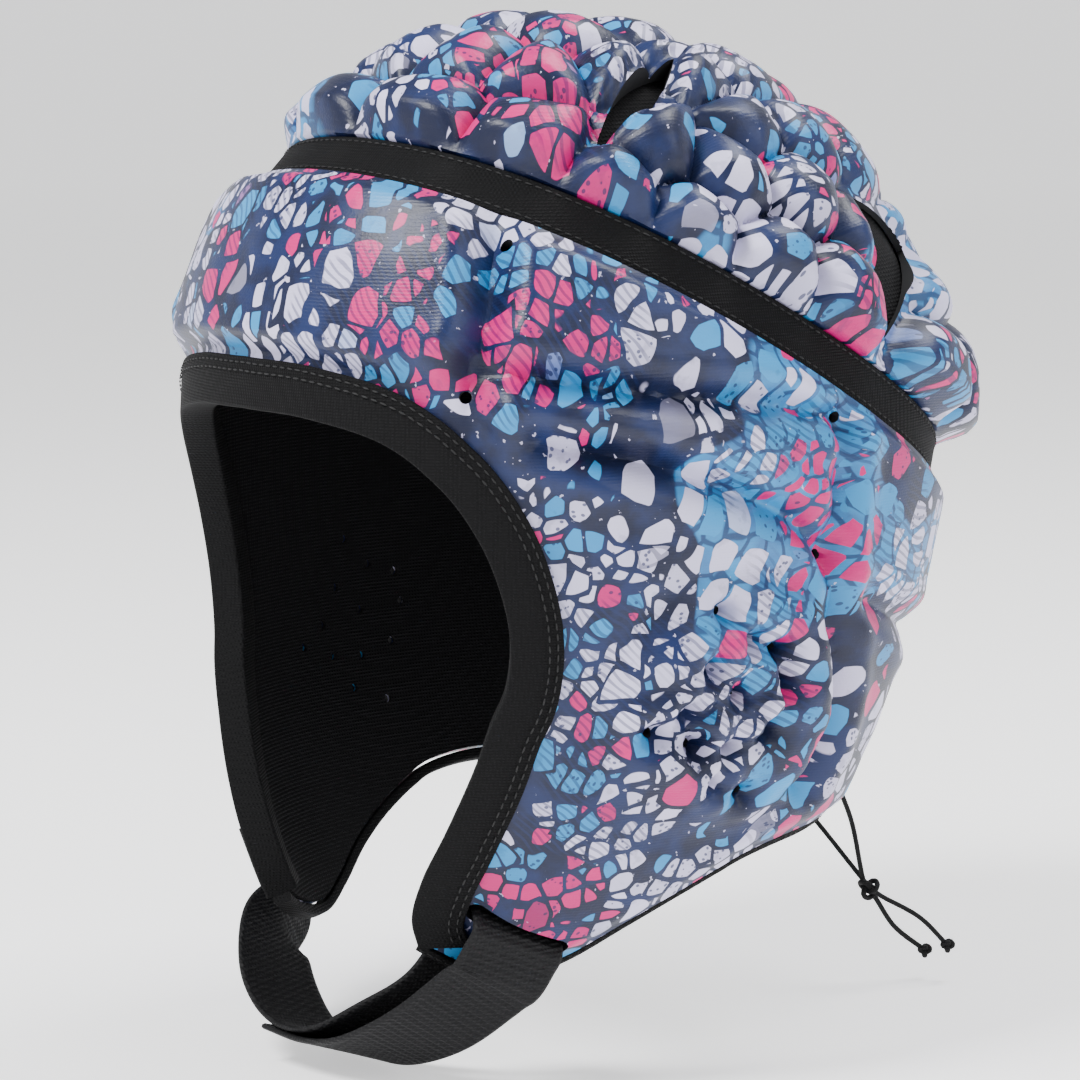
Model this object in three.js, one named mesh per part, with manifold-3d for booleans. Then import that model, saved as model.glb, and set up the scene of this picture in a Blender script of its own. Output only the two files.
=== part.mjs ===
// Rugby scrum cap: a soft padded headguard with the form that it has when worn.
// Millimetres, +Z up. The wearer faces -Y and their left side is +X.
// The origin is the inner apex of the crown, where the cap sits on the head.
import * as THREE from 'three';
import { mergeVertices } from 'three/addons/utils/BufferGeometryUtils.js';
import Module from 'manifold-3d';

const wasm = await Module();
wasm.setup();

// Head form, which the inside of the lining follows
const headHalfWidth = 78;
const headFront = 92;
const headBack = 104;
const domeHeight = 92; // apex down to the widest level
const skirtDepth = 134; // widest level down to the flap tips
const domePower = 0.96; // below 1 the dome is fuller than an ellipse
const cornerFullness = 0.04; // how far the plan outline stands out of an ellipse at its corners
const capHeight = domeHeight + skirtDepth;

// Walls and clearances
const clearance = 0.3;
const liningThickness = 1.2;
const facetSlack = 0.25; // room that the flat facets of neighbouring curved faces need
const padBase = liningThickness + clearance + facetSlack; // rise of the foam's inner face over the head form
const flangeThickness = 3; // foam where it is pressed flat under a tape
const padThickness = 8;
const foreheadThickness = 9;
const cheekThickness = 6.5;

// Band: the tape in the valley between crown and lower panel
const bandTilt = THREE.MathUtils.degToRad(28);
const bandDrop = 62.5; // apex to the band's plane, on the head's upright axis
const bandWidth = 11.4;
const bandThickness = 2.4;

// Crown bumps
const crownCrease = 3.8;
const crownBulge = 7; // how far a bump stands over its creases
const crownRearBulge = 3; // extra low at the back of the head
const crownRearFlat = 3; // how much less the bumps stand out high at the back
const bumpPitch = 27;
const crownRimRun = 6; // from the thin rim to the full bump

// Tapes, strap and lace
const faceTapeWidth = 10.5;
const faceTapeInnerWidth = 6.5;
const tapeThickness = 1;
const tapeClearance = 0.6; // room for the facets of a curved edge
const hemWidth = 3;
const hemThickness = 2.2;
const strapWidth = 25;
const strapThickness = 1.6;
const laceDiameter = 1.5;
const eyeletDiameter = 3.4;
const eyeletInset = 8; // from the lacing edge
const laceGapTop = 16;
const laceGapBottom = 22;

// Vents
const ventDiameter = 3;
const earHoleDiameter = 2.4;
const earRadius = 31;
const earRise = 3;
const earHub = { turn: 83.5, drop: 0.699 };

// In every table, turn is degrees about the head from the front to the wearer's left, and drop is
// a share of capHeight below the apex.

// Head outline below the widest level: fall is a share of skirtDepth, the other columns are shares
// of headHalfWidth, headFront and headBack
const HEAD_LEVELS = [
  { fall: 0.0, side: 1.0, front: 1.0, back: 1.0 },
  { fall: 0.209, side: 1.0, front: 0.989, back: 0.933 },
  { fall: 0.396, side: 0.987, front: 0.962, back: 0.827 },
  { fall: 0.582, side: 0.942, front: 0.924, back: 0.712 },
  { fall: 0.769, side: 0.846, front: 0.87, back: 0.606 },
  { fall: 0.955, side: 0.679, front: 0.793, back: 0.529 },
  { fall: 1.179, side: 0.436, front: 0.696, back: 0.462 },
];

// Foam edge round the face, from the centre of the forehead to the front of the flap tip
const FACE_EDGE = [
  { turn: 0, drop: 0.374 },
  { turn: 16.5, drop: 0.378 },
  { turn: 31, drop: 0.399 },
  { turn: 40, drop: 0.445 },
  { turn: 45.7, drop: 0.503 },
  { turn: 48.8, drop: 0.564 },
  { turn: 49.8, drop: 0.619 },
  { turn: 48.8, drop: 0.673 },
  { turn: 46.4, drop: 0.71 },
  { turn: 43.3, drop: 0.768 },
  { turn: 38.5, drop: 0.836 },
  { turn: 34.6, drop: 0.885 },
  { turn: 32.4, drop: 0.93 },
  { turn: 33.5, drop: 0.962 },
];
const foreheadPart = 0.3; // share of the face edge that belongs to the forehead

// Foam edge below the ear, from the front of the flap tip to the back lacing
const LOWER_EDGE = [
  { turn: 33.5, drop: 0.962 },
  { turn: 42, drop: 0.983 },
  { turn: 52, drop: 0.993 },
  { turn: 61, drop: 0.975 },
  { turn: 72, drop: 0.937 },
  { turn: 83, drop: 0.902 },
  { turn: 93, drop: 0.876 },
  { turn: 104, drop: 0.863 },
  { turn: 117, drop: 0.858 },
  { turn: 132, drop: 0.856 },
  { turn: 150, drop: 0.853 },
  { turn: 170, drop: 0.85 },
];

// Moulded folds of the lower panel: deep is a share of padThickness, wide is in millimetres, and
// upright folds run down the head instead of round it
const FOLDS = [
  {
    deep: 0.6,
    wide: 4.5,
    upright: true,
    path: [
      { turn: 45.5, drop: 0.15 },
      { turn: 46, drop: 0.26 },
      { turn: 45, drop: 0.31 },
      { turn: 43.5, drop: 0.358 },
      { turn: 43, drop: 0.42 },
    ],
  },
  {
    deep: 0.5,
    wide: 4,
    path: [
      { turn: 45, drop: 0.33 },
      { turn: 56.5, drop: 0.343 },
      { turn: 74.5, drop: 0.361 },
      { turn: 94, drop: 0.379 },
      { turn: 104, drop: 0.396 },
    ],
  },
  {
    deep: 0.45,
    wide: 4,
    path: [
      { turn: 53, drop: 0.403 },
      { turn: 68, drop: 0.425 },
      { turn: 82, drop: 0.46 },
      { turn: 92.5, drop: 0.492 },
      { turn: 101, drop: 0.542 },
    ],
  },
  {
    deep: 0.4,
    wide: 4.5,
    upright: true,
    path: [
      { turn: 104, drop: 0.396 },
      { turn: 103, drop: 0.47 },
      { turn: 102, drop: 0.545 },
      { turn: 106, drop: 0.638 },
      { turn: 109, drop: 0.73 },
      { turn: 106, drop: 0.8 },
    ],
  },
  {
    deep: 0.35,
    wide: 5,
    path: [
      { turn: 112, drop: 0.6 },
      { turn: 130, drop: 0.64 },
      { turn: 150, drop: 0.665 },
      { turn: 166, drop: 0.675 },
    ],
  },
];

// Single vents at the ends of the folds
const VENTS = [
  { turn: 48, drop: 0.21 },
  { turn: 43, drop: 0.357 },
  { turn: 104, drop: 0.396 },
  { turn: 101.5, drop: 0.546 },
];

// Ear holes: bearing is degrees anticlockwise from the back of the head, seen from the left, and
// out is a share of earRadius
const EAR_HOLES = [
  { bearing: 76, out: 0.13 },
  { bearing: -90, out: 0.28 },
  { bearing: -28, out: 0.4 },
  { bearing: 124, out: 0.42 },
  { bearing: 176, out: 0.42 },
  { bearing: -142, out: 0.42 },
  { bearing: 18, out: 0.52 },
  { bearing: 45, out: 0.62 },
  { bearing: 74, out: 0.55 },
  { bearing: -103, out: 0.58 },
  { bearing: -168, out: 0.7 },
  { bearing: -72, out: 0.74 },
  { bearing: 98, out: 0.78 },
];

// Bumps of the crown's left half: turn is degrees round the crown's own tilted axis from the front,
// tip is degrees down from that axis
const CROWN_BUMPS = [
  { turn: 14, tip: 79 },
  { turn: 38, tip: 78 },
  { turn: 56, tip: 81 },
  { turn: 74, tip: 80 },
  { turn: 93, tip: 80 },
  { turn: 112, tip: 77 },
  { turn: 137, tip: 84 },
  { turn: 156, tip: 80 },
  { turn: 173, tip: 80 },
  { turn: 11, tip: 58 },
  { turn: 30, tip: 58 },
  { turn: 62, tip: 65 },
  { turn: 80, tip: 65 },
  { turn: 101, tip: 60 },
  { turn: 120, tip: 65 },
  { turn: 142, tip: 62 },
  { turn: 164, tip: 61 },
  { turn: 20, tip: 37 },
  { turn: 47, tip: 49 },
  { turn: 70, tip: 36 },
  { turn: 87, tip: 47 },
  { turn: 110, tip: 43 },
  { turn: 135, tip: 43 },
  { turn: 164, tip: 41 },
  { turn: 33, tip: 17 },
  { turn: 100, tip: 24 },
  { turn: 155, tip: 21 },
];

// Slits cut through the crown: corners in the bumps' columns, and how far their sides bow out
const CROWN_SLITS = [
  { bow: 4.2, corners: [{ turn: 50, tip: 73.5 }, { turn: 62, tip: 34.5 }] },
  { bow: 0.8, corners: [{ turn: 123.5, tip: 56 }, { turn: 141, tip: 61 }, { turn: 121, tip: 84 }] },
];

// Strap slot in the left flap
const STRAP_SLOT = { from: { turn: 43.5, drop: 0.92 }, to: { turn: 59, drop: 0.955 }, height: 5.4 };

// Chin strap below the flaps, from the right to the left: across, ahead and drop are shares of
// headHalfWidth, headFront and capHeight; yaw and dip turn the webbing's width, which otherwise
// runs straight back
const STRAP_LOOP = [
  { across: -0.577, ahead: 0.636, drop: 1.024, yaw: -24, dip: 4 },
  { across: -0.397, ahead: 0.728, drop: 1.073, yaw: -10, dip: 10 },
  { across: -0.192, ahead: 0.761, drop: 1.105, yaw: -4, dip: 16 },
  { across: 0, ahead: 0.745, drop: 1.106, yaw: 0, dip: 20 },
  { across: 0.205, ahead: 0.69, drop: 1.073, yaw: 6, dip: 26 },
  { across: 0.365, ahead: 0.615, drop: 1.035, yaw: 10, dip: 29 },
];
const STRAP_RETURN = [
  { across: 0.57, ahead: 0.62, drop: 1.018, yaw: 12, dip: 30 },
  { across: 0.4, ahead: 0.69, drop: 1.07, yaw: 10, dip: 28 },
  { across: 0.18, ahead: 0.748, drop: 1.108, yaw: 6, dip: 23 },
  { across: -0.01, ahead: 0.758, drop: 1.118, yaw: 0, dip: 19 },
  { across: -0.225, ahead: 0.768, drop: 1.113, yaw: -4, dip: 16 },
];

// Free ends of the lace, in millimetres from the origin: from the lacing to the knot and on to
// the end knots
const KNOT_SPOT = new THREE.Vector3(21.5, 94.5, -230.4);
const LACE_TAILS = [
  { name: 'left', end: new THREE.Vector3(32, 115, -247.8), bow: new THREE.Vector3(1, 1, 1) },
  { name: 'right', end: new THREE.Vector3(26, 112, -249.9), bow: new THREE.Vector3(-1, -1, -1) },
];
const knotDiameter = 7;
const endKnotDiameter = 4.4;
const EYELET_DROPS = [0.57, 0.65, 0.73, 0.81];

// Grid of the lower panel; all four counts are even
const foreheadColumns = 8;
const panelColumns = 28;
const foreheadRows = 8;
const panelRows = 18;

const rad = THREE.MathUtils.degToRad;
const deg = THREE.MathUtils.radToDeg;
const clamp = THREE.MathUtils.clamp;
const smooth = (value, from, to) => THREE.MathUtils.smoothstep(value, from, to);

// Smooth curve through a table's columns, flat at the first row
function columnCurve(table, xKey, yKey) {
  const slope = (i) => {
    if (i === 0) return 0;
    const after = table[Math.min(i + 1, table.length - 1)];
    const before = table[i - 1];
    return (after[yKey] - before[yKey]) / (after[xKey] - before[xKey]);
  };
  return (x) => {
    let i = 0;
    while (i < table.length - 2 && x > table[i + 1][xKey]) i += 1;
    const run = table[i + 1][xKey] - table[i][xKey];
    const t = clamp((x - table[i][xKey]) / run, 0, 1);
    const a = table[i][yKey];
    const b = table[i + 1][yKey];
    const ease = t * t * (3 - 2 * t);
    const bend = t * (1 - t) * ((1 - t) * slope(i) - t * slope(i + 1)) * run;
    return a + (b - a) * ease + bend;
  };
}

const sideShare = columnCurve(HEAD_LEVELS, 'fall', 'side');
const frontShare = columnCurve(HEAD_LEVELS, 'fall', 'front');
const backShare = columnCurve(HEAD_LEVELS, 'fall', 'back');

// Half width and reach of the head form at a level
function headOutline(z, backward) {
  const fall = Math.max(0, (-domeHeight - z) / skirtDepth);
  const reach = backward ? headBack * backShare(fall) : headFront * frontShare(fall);
  return { side: headHalfWidth * sideShare(fall), reach };
}

function domeShare(z) {
  if (z <= -domeHeight) return 1;
  const up = clamp((z + domeHeight) / domeHeight, 0, 1);
  return Math.sqrt(1 - up * up) ** domePower;
}

const corner = (turn) => 1 + cornerFullness * Math.sin(2 * turn) ** 2;

// Zero on the head form, negative inside
function headField(p) {
  const { side, reach } = headOutline(p.z, p.y > 0);
  const sx = p.x / side;
  const sy = -p.y / reach;
  return Math.hypot(sx, sy) / corner(Math.atan2(sx, sy)) - domeShare(p.z);
}

function headGradient(p) {
  const e = 0.25;
  const probe = (x, y, z) => headField(new THREE.Vector3(p.x + x, p.y + y, p.z + z));
  const slope = (x, y, z) => (probe(x, y, z) - probe(-x, -y, -z)) / (2 * e);
  return new THREE.Vector3(slope(e, 0, 0), slope(0, e, 0), slope(0, 0, e));
}

const apexZone = 0.5; // so near the apex the head form faces straight up

function headNormal(p) {
  if (p.z > -apexZone) return new THREE.Vector3(0, 0, 1);
  return headGradient(p).normalize();
}

const lifted = (p, rise) => p.clone().addScaledVector(headNormal(p), rise);

// Point of the head form at a turn in degrees and a level
function headPoint(turn, z) {
  const a = rad(turn);
  const { side, reach } = headOutline(z, Math.cos(a) < 0);
  const s = domeShare(z) * corner(a);
  return new THREE.Vector3(side * Math.sin(a) * s, -reach * Math.cos(a) * s, z);
}

const spotPoint = (spot) => headPoint(spot.turn, -spot.drop * capHeight);

// Moves a point near the head form onto it
function settled(p) {
  const q = p.clone();
  for (let i = 0; i < 3; i += 1) {
    const g = headGradient(q);
    q.addScaledVector(g, -headField(q) / g.lengthSq());
  }
  return q;
}

// Band frame: the axis stands on the band's plane
const bandAxis = new THREE.Vector3(0, Math.sin(bandTilt), Math.cos(bandTilt));
const bandForward = new THREE.Vector3(0, -Math.cos(bandTilt), Math.sin(bandTilt));
const bandCentre = new THREE.Vector3(0, 0, -bandDrop);
const bandEdgeOffset = bandWidth / 2 + clearance;

function bisect(low, high, isHigh) {
  let a = low;
  let b = high;
  for (let i = 0; i < 40; i += 1) {
    const middle = (a + b) / 2;
    if (isHigh(middle)) b = middle;
    else a = middle;
  }
  return (a + b) / 2;
}

// Level where the head form at a turn lies at an offset above the band's plane
function bandLevel(turn, offset) {
  const height = (z) => headPoint(turn, z).sub(bandCentre).dot(bandAxis);
  return bisect(-capHeight * 0.8, -1, (z) => height(z) > offset);
}

// Point of the head form seen from a centre on the band's axis: turn and tip in degrees
function crownPoint(turn, tip, offset) {
  const centre = bandCentre.clone().addScaledVector(bandAxis, offset);
  const way = new THREE.Vector3(Math.sin(rad(tip)) * Math.sin(rad(turn)), 0, 0)
    .addScaledVector(bandForward, Math.sin(rad(tip)) * Math.cos(rad(turn)))
    .addScaledVector(bandAxis, Math.cos(rad(tip)));
  const at = (t) => centre.clone().addScaledVector(way, t);
  const isOut = (t) => at(t).z > 0 || headField(at(t)) > 0;
  return at(bisect(0, 2 * headBack, isOut));
}

// Solids from triangles
class Skin {
  constructor() {
    this.points = [];
    this.faces = [];
  }

  add(point) {
    this.points.push(point.x, point.y, point.z);
    return this.points.length / 3 - 1;
  }

  face(a, b, c) {
    this.faces.push(a, b, c);
  }

  // Flat or gently bent face with a row of corners, cut into triangles from the given corner
  fan(corners, first = 0) {
    for (let i = 1; i < corners.length - 1; i += 1) {
      const at = (k) => corners[(first + k) % corners.length];
      this.face(at(0), at(i), at(i + 1));
    }
  }

  // Closed rings with any counts, joined in the order of their angles
  zip(ringA, ringB) {
    const angle = (ring, i) => ring.angles[i % ring.angles.length] + 360 * Math.floor(i / ring.angles.length);
    const at = (ring, i) => ring.ids[i % ring.ids.length];
    let a = 0;
    let b = 0;
    while (a < ringA.ids.length || b < ringB.ids.length) {
      const stepA = a < ringA.ids.length
        && (b >= ringB.ids.length || angle(ringA, a + 1) <= angle(ringB, b + 1));
      if (stepA) {
        this.face(at(ringA, a), at(ringA, a + 1), at(ringB, b));
        a += 1;
      } else {
        this.face(at(ringB, b), at(ringA, a), at(ringB, b + 1));
        b += 1;
      }
    }
  }

  volume() {
    const corners = [new THREE.Vector3(), new THREE.Vector3(), new THREE.Vector3()];
    let sum = 0;
    for (let i = 0; i < this.faces.length; i += 3) {
      corners.forEach((corner, k) => corner.fromArray(this.points, this.faces[i + k] * 3));
      sum += corners[0].dot(corners[1].clone().cross(corners[2])) / 6;
    }
    return sum;
  }

  geometry() {
    if (this.volume() < 0) {
      for (let i = 0; i < this.faces.length; i += 3) {
        [this.faces[i], this.faces[i + 1]] = [this.faces[i + 1], this.faces[i]];
      }
    }
    const geometry = new THREE.BufferGeometry();
    geometry.setAttribute('position', new THREE.Float32BufferAttribute(this.points, 3));
    geometry.setIndex(this.faces);
    return geometry;
  }
}

// Loft through sections of equal, even corner counts; open ends are closed by strips
function loft(sections, closed = false) {
  const skin = new Skin();
  const rings = sections.map((section) => section.map((point) => skin.add(point)));
  const count = rings[0].length;
  const last = closed ? rings.length : rings.length - 1;
  for (let s = 0; s < last; s += 1) {
    const here = rings[s];
    const next = rings[(s + 1) % rings.length];
    for (let k = 0; k < count; k += 1) {
      skin.fan([here[k], here[(k + 1) % count], next[(k + 1) % count], next[k]]);
    }
  }
  if (!closed) {
    for (let k = 0; k < count / 2 - 1; k += 1) {
      const strip = (ring) => [ring[k], ring[count - 1 - k], ring[count - 2 - k], ring[k + 1]];
      skin.fan(strip(rings[0]));
      skin.fan(strip(rings[rings.length - 1]).reverse());
    }
  }
  return skin.geometry();
}

// Booleans
function toManifold(geometry) {
  const bare = geometry.clone();
  bare.deleteAttribute('normal');
  bare.deleteAttribute('uv');
  const merged = mergeVertices(bare, 1e-4);
  return new wasm.Manifold(new wasm.Mesh({
    numProp: 3,
    vertProperties: new Float32Array(merged.attributes.position.array),
    triVerts: new Uint32Array(merged.index.array),
  }));
}

function fromManifold(solid) {
  const mesh = solid.getMesh();
  const geometry = new THREE.BufferGeometry();
  geometry.setAttribute('position', new THREE.BufferAttribute(mesh.vertProperties, 3));
  geometry.setIndex(new THREE.BufferAttribute(mesh.triVerts, 1));
  return geometry;
}

function cut(geometry, cutters) {
  return fromManifold(cutters.reduce((solid, cutter) => solid.subtract(toManifold(cutter)), toManifold(geometry)));
}

function joined(geometries) {
  const solids = geometries.map(toManifold);
  return fromManifold(solids.slice(1).reduce((solid, next) => solid.add(next), solids[0]));
}

const mirrorTurn = (spot, side) => ({ ...spot, turn: spot.turn * side });
const cutterReach = 26;
const pinSides = 4;

// Places a cutter so that its Z axis stands on the head form at a point, with its X axis along a way
function placeOnHead(geometry, point, way) {
  const z = headNormal(point);
  const y = z.clone().cross(way).normalize();
  const x = y.clone().cross(z);
  const frame = new THREE.Matrix4().makeBasis(x, y, z).setPosition(point);
  return geometry.applyMatrix4(frame);
}

// Round pin through the wall at a spot
function pin(spot, diameter) {
  const geometry = new THREE.CylinderGeometry(diameter / 2, diameter / 2, 2 * cutterReach, pinSides);
  geometry.rotateX(Math.PI / 2);
  return placeOnHead(geometry, spotPoint(spot), new THREE.Vector3(0, 0, 1));
}

// Lines on the head form, for distances to edges and folds
function headLine(spots) {
  return spots.map((spot) => spotPoint(spot));
}

function distanceTo(line, p) {
  const segment = new THREE.Line3();
  const foot = new THREE.Vector3();
  let best = Infinity;
  for (let i = 0; i < line.length - 1; i += 1) {
    segment.set(line[i], line[i + 1]);
    segment.closestPointToPoint(p, true, foot);
    best = Math.min(best, foot.distanceTo(p));
  }
  return best;
}

// Smooth path through a table of spots; its parameter runs with length
function spotPath(table) {
  const points = table.map((row) => new THREE.Vector3(row.turn, -row.drop * capHeight, 0));
  const curve = new THREE.CatmullRomCurve3(points, false, 'centripetal');
  return (share) => {
    const p = curve.getPointAt(clamp(share, 0, 1));
    return new THREE.Vector2(p.x, p.y);
  };
}

// Lower panel grid in turns and levels
const faceEdge = spotPath(FACE_EDGE);
const junction = faceEdge(foreheadPart);
const bandRow = (turn, offset = -bandEdgeOffset) => new THREE.Vector2(turn, bandLevel(turn, offset));

const laceTurn = (gap, z) => 180 - deg(Math.asin(gap / 2 / headOutline(z, true).reach));
const laceTop = bandRow(180);
const lowerPath = spotPath(LOWER_EDGE);
const laceBottomLevel = -LOWER_EDGE[LOWER_EDGE.length - 1].drop * capHeight;
const laceEdgeTop = bandRow(laceTurn(laceGapTop, laceTop.y));
const laceEdgeBottom = new THREE.Vector2(laceTurn(laceGapBottom, laceBottomLevel), laceBottomLevel);

// The table's lower edge, stretched a little in turn so that it ends at the lacing
function lowerEdge(share) {
  const spot = lowerPath(share);
  const start = LOWER_EDGE[0].turn;
  const end = LOWER_EDGE[LOWER_EDGE.length - 1].turn;
  const reach = (spot.x - start) / (end - start);
  return new THREE.Vector2(start + reach * (laceEdgeBottom.x - start), spot.y);
}

const mix = (a, b, t) => a.clone().lerp(b, t);

// Surface patch between four edges that meet at their ends
function patch(top, bottom, left, right) {
  return (u, v) => {
    const across = mix(left(v), right(v), u);
    const along = mix(top(u), bottom(u), v);
    const corners = mix(mix(top(0), top(1), u), mix(bottom(0), bottom(1), u), v);
    return across.add(along).sub(corners);
  };
}

// Rows of the forehead as shares from the band to the face edge: the lowest ones fit the tape
const foreheadDepth = headPoint(0, bandRow(0).y).distanceTo(headPoint(0, faceEdge(0).y));
const tapeShare = (faceTapeWidth + 1) / foreheadDepth;
const lipShare = 5 / foreheadDepth;
const upperRows = foreheadRows - 3;

function rowShare(row) {
  if (row <= upperRows) return (row / upperRows) * (1 - tapeShare - lipShare);
  return 1 - tapeShare - lipShare + [0, lipShare, lipShare + tapeShare / 2, lipShare + tapeShare][row - upperRows];
}

const foldTurn = FOLDS[0].path[0].turn;
const foldLine = (share) => mix(bandRow(foldTurn), junction, share);
const foreheadPatch = patch(
  (u) => bandRow(foldTurn * u),
  (u) => faceEdge(foreheadPart * u),
  (v) => mix(bandRow(0), faceEdge(0), v),
  foldLine,
);
const sidePatch = patch(
  (u) => bandRow(foldTurn + (laceEdgeTop.x - foldTurn) * u),
  lowerEdge,
  (v) => {
    const row = v * panelRows;
    if (row <= foreheadRows) return foldLine(rowShare(row));
    const share = (row - foreheadRows) / (panelRows - foreheadRows);
    return faceEdge(foreheadPart + (1 - foreheadPart) * share);
  },
  (v) => mix(laceEdgeTop, laceEdgeBottom, v),
);

function plainSpot(column, row) {
  if (column < foreheadColumns) {
    return row <= foreheadRows ? foreheadPatch(column / foreheadColumns, rowShare(row)) : null;
  }
  return sidePatch((column - foreheadColumns) / (panelColumns - foreheadColumns), row / panelRows);
}

const panelSpots = Array.from({ length: panelColumns + 1 }, (_, column) => (
  Array.from({ length: panelRows + 1 }, (_, row) => plainSpot(column, row))
));

// Moves the grid corners nearest to a fold onto it, so that its bottom is an edge
function snapToFold({ path, upright }) {
  const curve = spotPath(path);
  const run = upright ? 'y' : 'x';
  const across = upright ? 'x' : 'y';
  const lines = upright ? panelRows : panelColumns;
  const others = upright ? panelColumns : panelRows;
  for (let line = 1; line < lines; line += 1) {
    const spots = Array.from({ length: others - 1 }, (_, k) => (
      upright ? panelSpots[k + 1][line] : panelSpots[line][k + 1]
    )).filter((spot) => spot !== null);
    const order = Math.sign(curve(1)[run] - curve(0)[run]);
    const meets = spots.map((spot) => bisect(0, 1, (share) => (curve(share)[run] - spot[run]) * order > 0));
    const away = spots.map((spot, k) => Math.abs(curve(meets[k])[across] - spot[across]));
    const best = away.indexOf(Math.min(...away));
    if (meets[best] > 1e-3 && meets[best] < 1 - 1e-3) {
      spots[best][across] = curve(meets[best])[across];
    }
  }
}

FOLDS.slice(1).forEach(snapToFold);

// Head-form point of a grid corner; the right half has negative columns, and the row above 0
// carries the lining on under the band
function panelPoint(column, row) {
  const side = column < 0 ? -1 : 1;
  const spot = panelSpots[Math.abs(column)][Math.max(row, 0)].clone();
  if (row < 0) spot.y = bandLevel(spot.x, -clearance / 2);
  return headPoint(spot.x * side, spot.y);
}

const hasCorner = (column, row) => Math.abs(column) <= panelColumns && row <= panelRows
  && (Math.abs(column) >= foreheadColumns || row <= foreheadRows);

// Solid over the panel's grid between two faces; a coarse face takes every second grid line inside
// and every one along the rim, so that all faces share one rim
function quilt(outerRise, innerRise, outerStep, firstRow) {
  const skin = new Skin();
  const corners = new Map();
  const corner = (face, column, row) => {
    const key = `${face},${column},${row}`;
    if (!corners.has(key)) {
      const p = panelPoint(column, row);
      corners.set(key, skin.add(lifted(p, face === 'outer' ? outerRise(p) : innerRise(p))));
    }
    return corners.get(key);
  };
  const hasCell = (column, row) => row >= firstRow && [0, 2].every((c) => [0, 2].every(
    (r) => hasCorner(column + c, row + r),
  )) && !(column < foreheadColumns && column + 2 > -foreheadColumns && row + 2 > foreheadRows);
  const coarseCell = (face, column, row, flip) => {
    const round = [];
    const rims = [];
    [[0, 0, 1, 0], [2, 0, 0, 1], [2, 2, -1, 0], [0, 2, 0, -1]].forEach(([c, r, dc, dr]) => {
      round.push(corner(face, column + c, row + r));
      const beyond = [column + (dr === 0 ? 0 : 2 * dr), row - (dc === 0 ? 0 : 2 * dc)];
      if (!hasCell(beyond[0], beyond[1])) {
        rims.push(round.length);
        round.push(corner(face, column + c + dc, row + r + dr));
      }
    });
    const first = rims.length ? rims[0] : 0;
    if (flip) {
      skin.fan([...round].reverse(), round.length - 1 - first);
    } else {
      skin.fan(round, first);
    }
  };
  for (let column = -panelColumns; column < panelColumns; column += 2) {
    for (let row = firstRow; row < panelRows; row += 2) {
      if (hasCell(column, row)) {
        if (outerStep === 2) {
          coarseCell('outer', column, row, false);
        } else {
          [0, 1].forEach((c) => [0, 1].forEach((r) => skin.fan([
            corner('outer', column + c, row + r),
            corner('outer', column + c + 1, row + r),
            corner('outer', column + c + 1, row + r + 1),
            corner('outer', column + c, row + r + 1),
          ])));
        }
        coarseCell('inner', column, row, true);
        [[0, 0, 1, 0], [2, 0, 0, 1], [2, 2, -1, 0], [0, 2, 0, -1]].forEach(([c, r, dc, dr]) => {
          const beyond = [column + (dr === 0 ? 0 : 2 * dr), row - (dc === 0 ? 0 : 2 * dc)];
          if (!hasCell(beyond[0], beyond[1])) {
            [0, 1].forEach((half) => {
              const start = [column + c + dc * half, row + r + dr * half];
              const end = [start[0] + dc, start[1] + dr];
              skin.fan([
                corner('outer', ...end),
                corner('outer', ...start),
                corner('inner', ...start),
                corner('inner', ...end),
              ]);
            });
          }
        });
      }
    }
  }
  return skin.geometry();
}

// Edge and fold lines of the left half, for the foam's thickness
const lineSteps = 48;
const steps = (count) => Array.from({ length: count + 1 }, (_, i) => i / count);
const edgeLine = (edge) => steps(lineSteps).map((share) => {
  const spot = edge(share);
  return headPoint(spot.x, spot.y);
});
const faceLine = edgeLine(faceEdge);
const bandLine = edgeLine((share) => bandRow(laceEdgeTop.x * share));
const lowerLine = edgeLine(lowerEdge);
const laceLine = edgeLine((share) => mix(laceEdgeTop, laceEdgeBottom, share));
const foldLines = FOLDS.map((fold) => ({ ...fold, line: edgeLine(spotPath(fold.path)) }));
const earCentre = spotPoint(earHub);

const leftOf = (p) => new THREE.Vector3(Math.abs(p.x), p.y, p.z);

// Foam thickness of the lower panel over a point of the head form
function panelThickness(point) {
  const p = leftOf(point);
  const toFace = distanceTo(faceLine, p);
  const forehead = 1 - smooth(p.x, 0.5 * headHalfWidth, 0.7 * headHalfWidth);
  const cheek = smooth(-p.z, 0.72 * capHeight, 0.9 * capHeight);
  let full = THREE.MathUtils.lerp(padThickness, foreheadThickness, forehead * smooth(-p.y, 0, headFront / 2));
  full = THREE.MathUtils.lerp(full, cheekThickness, cheek);
  const earDistance = earCentre.distanceTo(p) / earRadius;
  full += earRise * (1 - smooth(earDistance, 0.25, 1.05)) - 2 * Math.exp(-(((earDistance - 1.1) / 0.14) ** 2));
  full -= 1.6 * Math.exp(-((earDistance / 0.16) ** 2));
  foldLines.forEach(({ deep, wide, line }) => {
    full -= deep * padThickness * Math.exp(-((distanceTo(line, p) / wide) ** 2));
  });
  const lip = THREE.MathUtils.lerp(16, 5, forehead);
  const rise = (distance, from, run) => smooth(distance, from, from + run);
  const shares = [
    rise(toFace, faceTapeWidth + THREE.MathUtils.lerp(3, 1, forehead), lip),
    rise(distanceTo(bandLine, p), 0, 5) * 0.75 + 0.25,
    rise(distanceTo(lowerLine, p), 0, 6) * 0.7 + 0.3,
    rise(distanceTo(laceLine, p), 0, 4) * 0.5 + 0.5,
  ];
  const share = Math.min(...shares);
  return flangeThickness + Math.max(0, full - flangeThickness) * share;
}

const panelRise = (p) => padBase + panelThickness(p);

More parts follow.
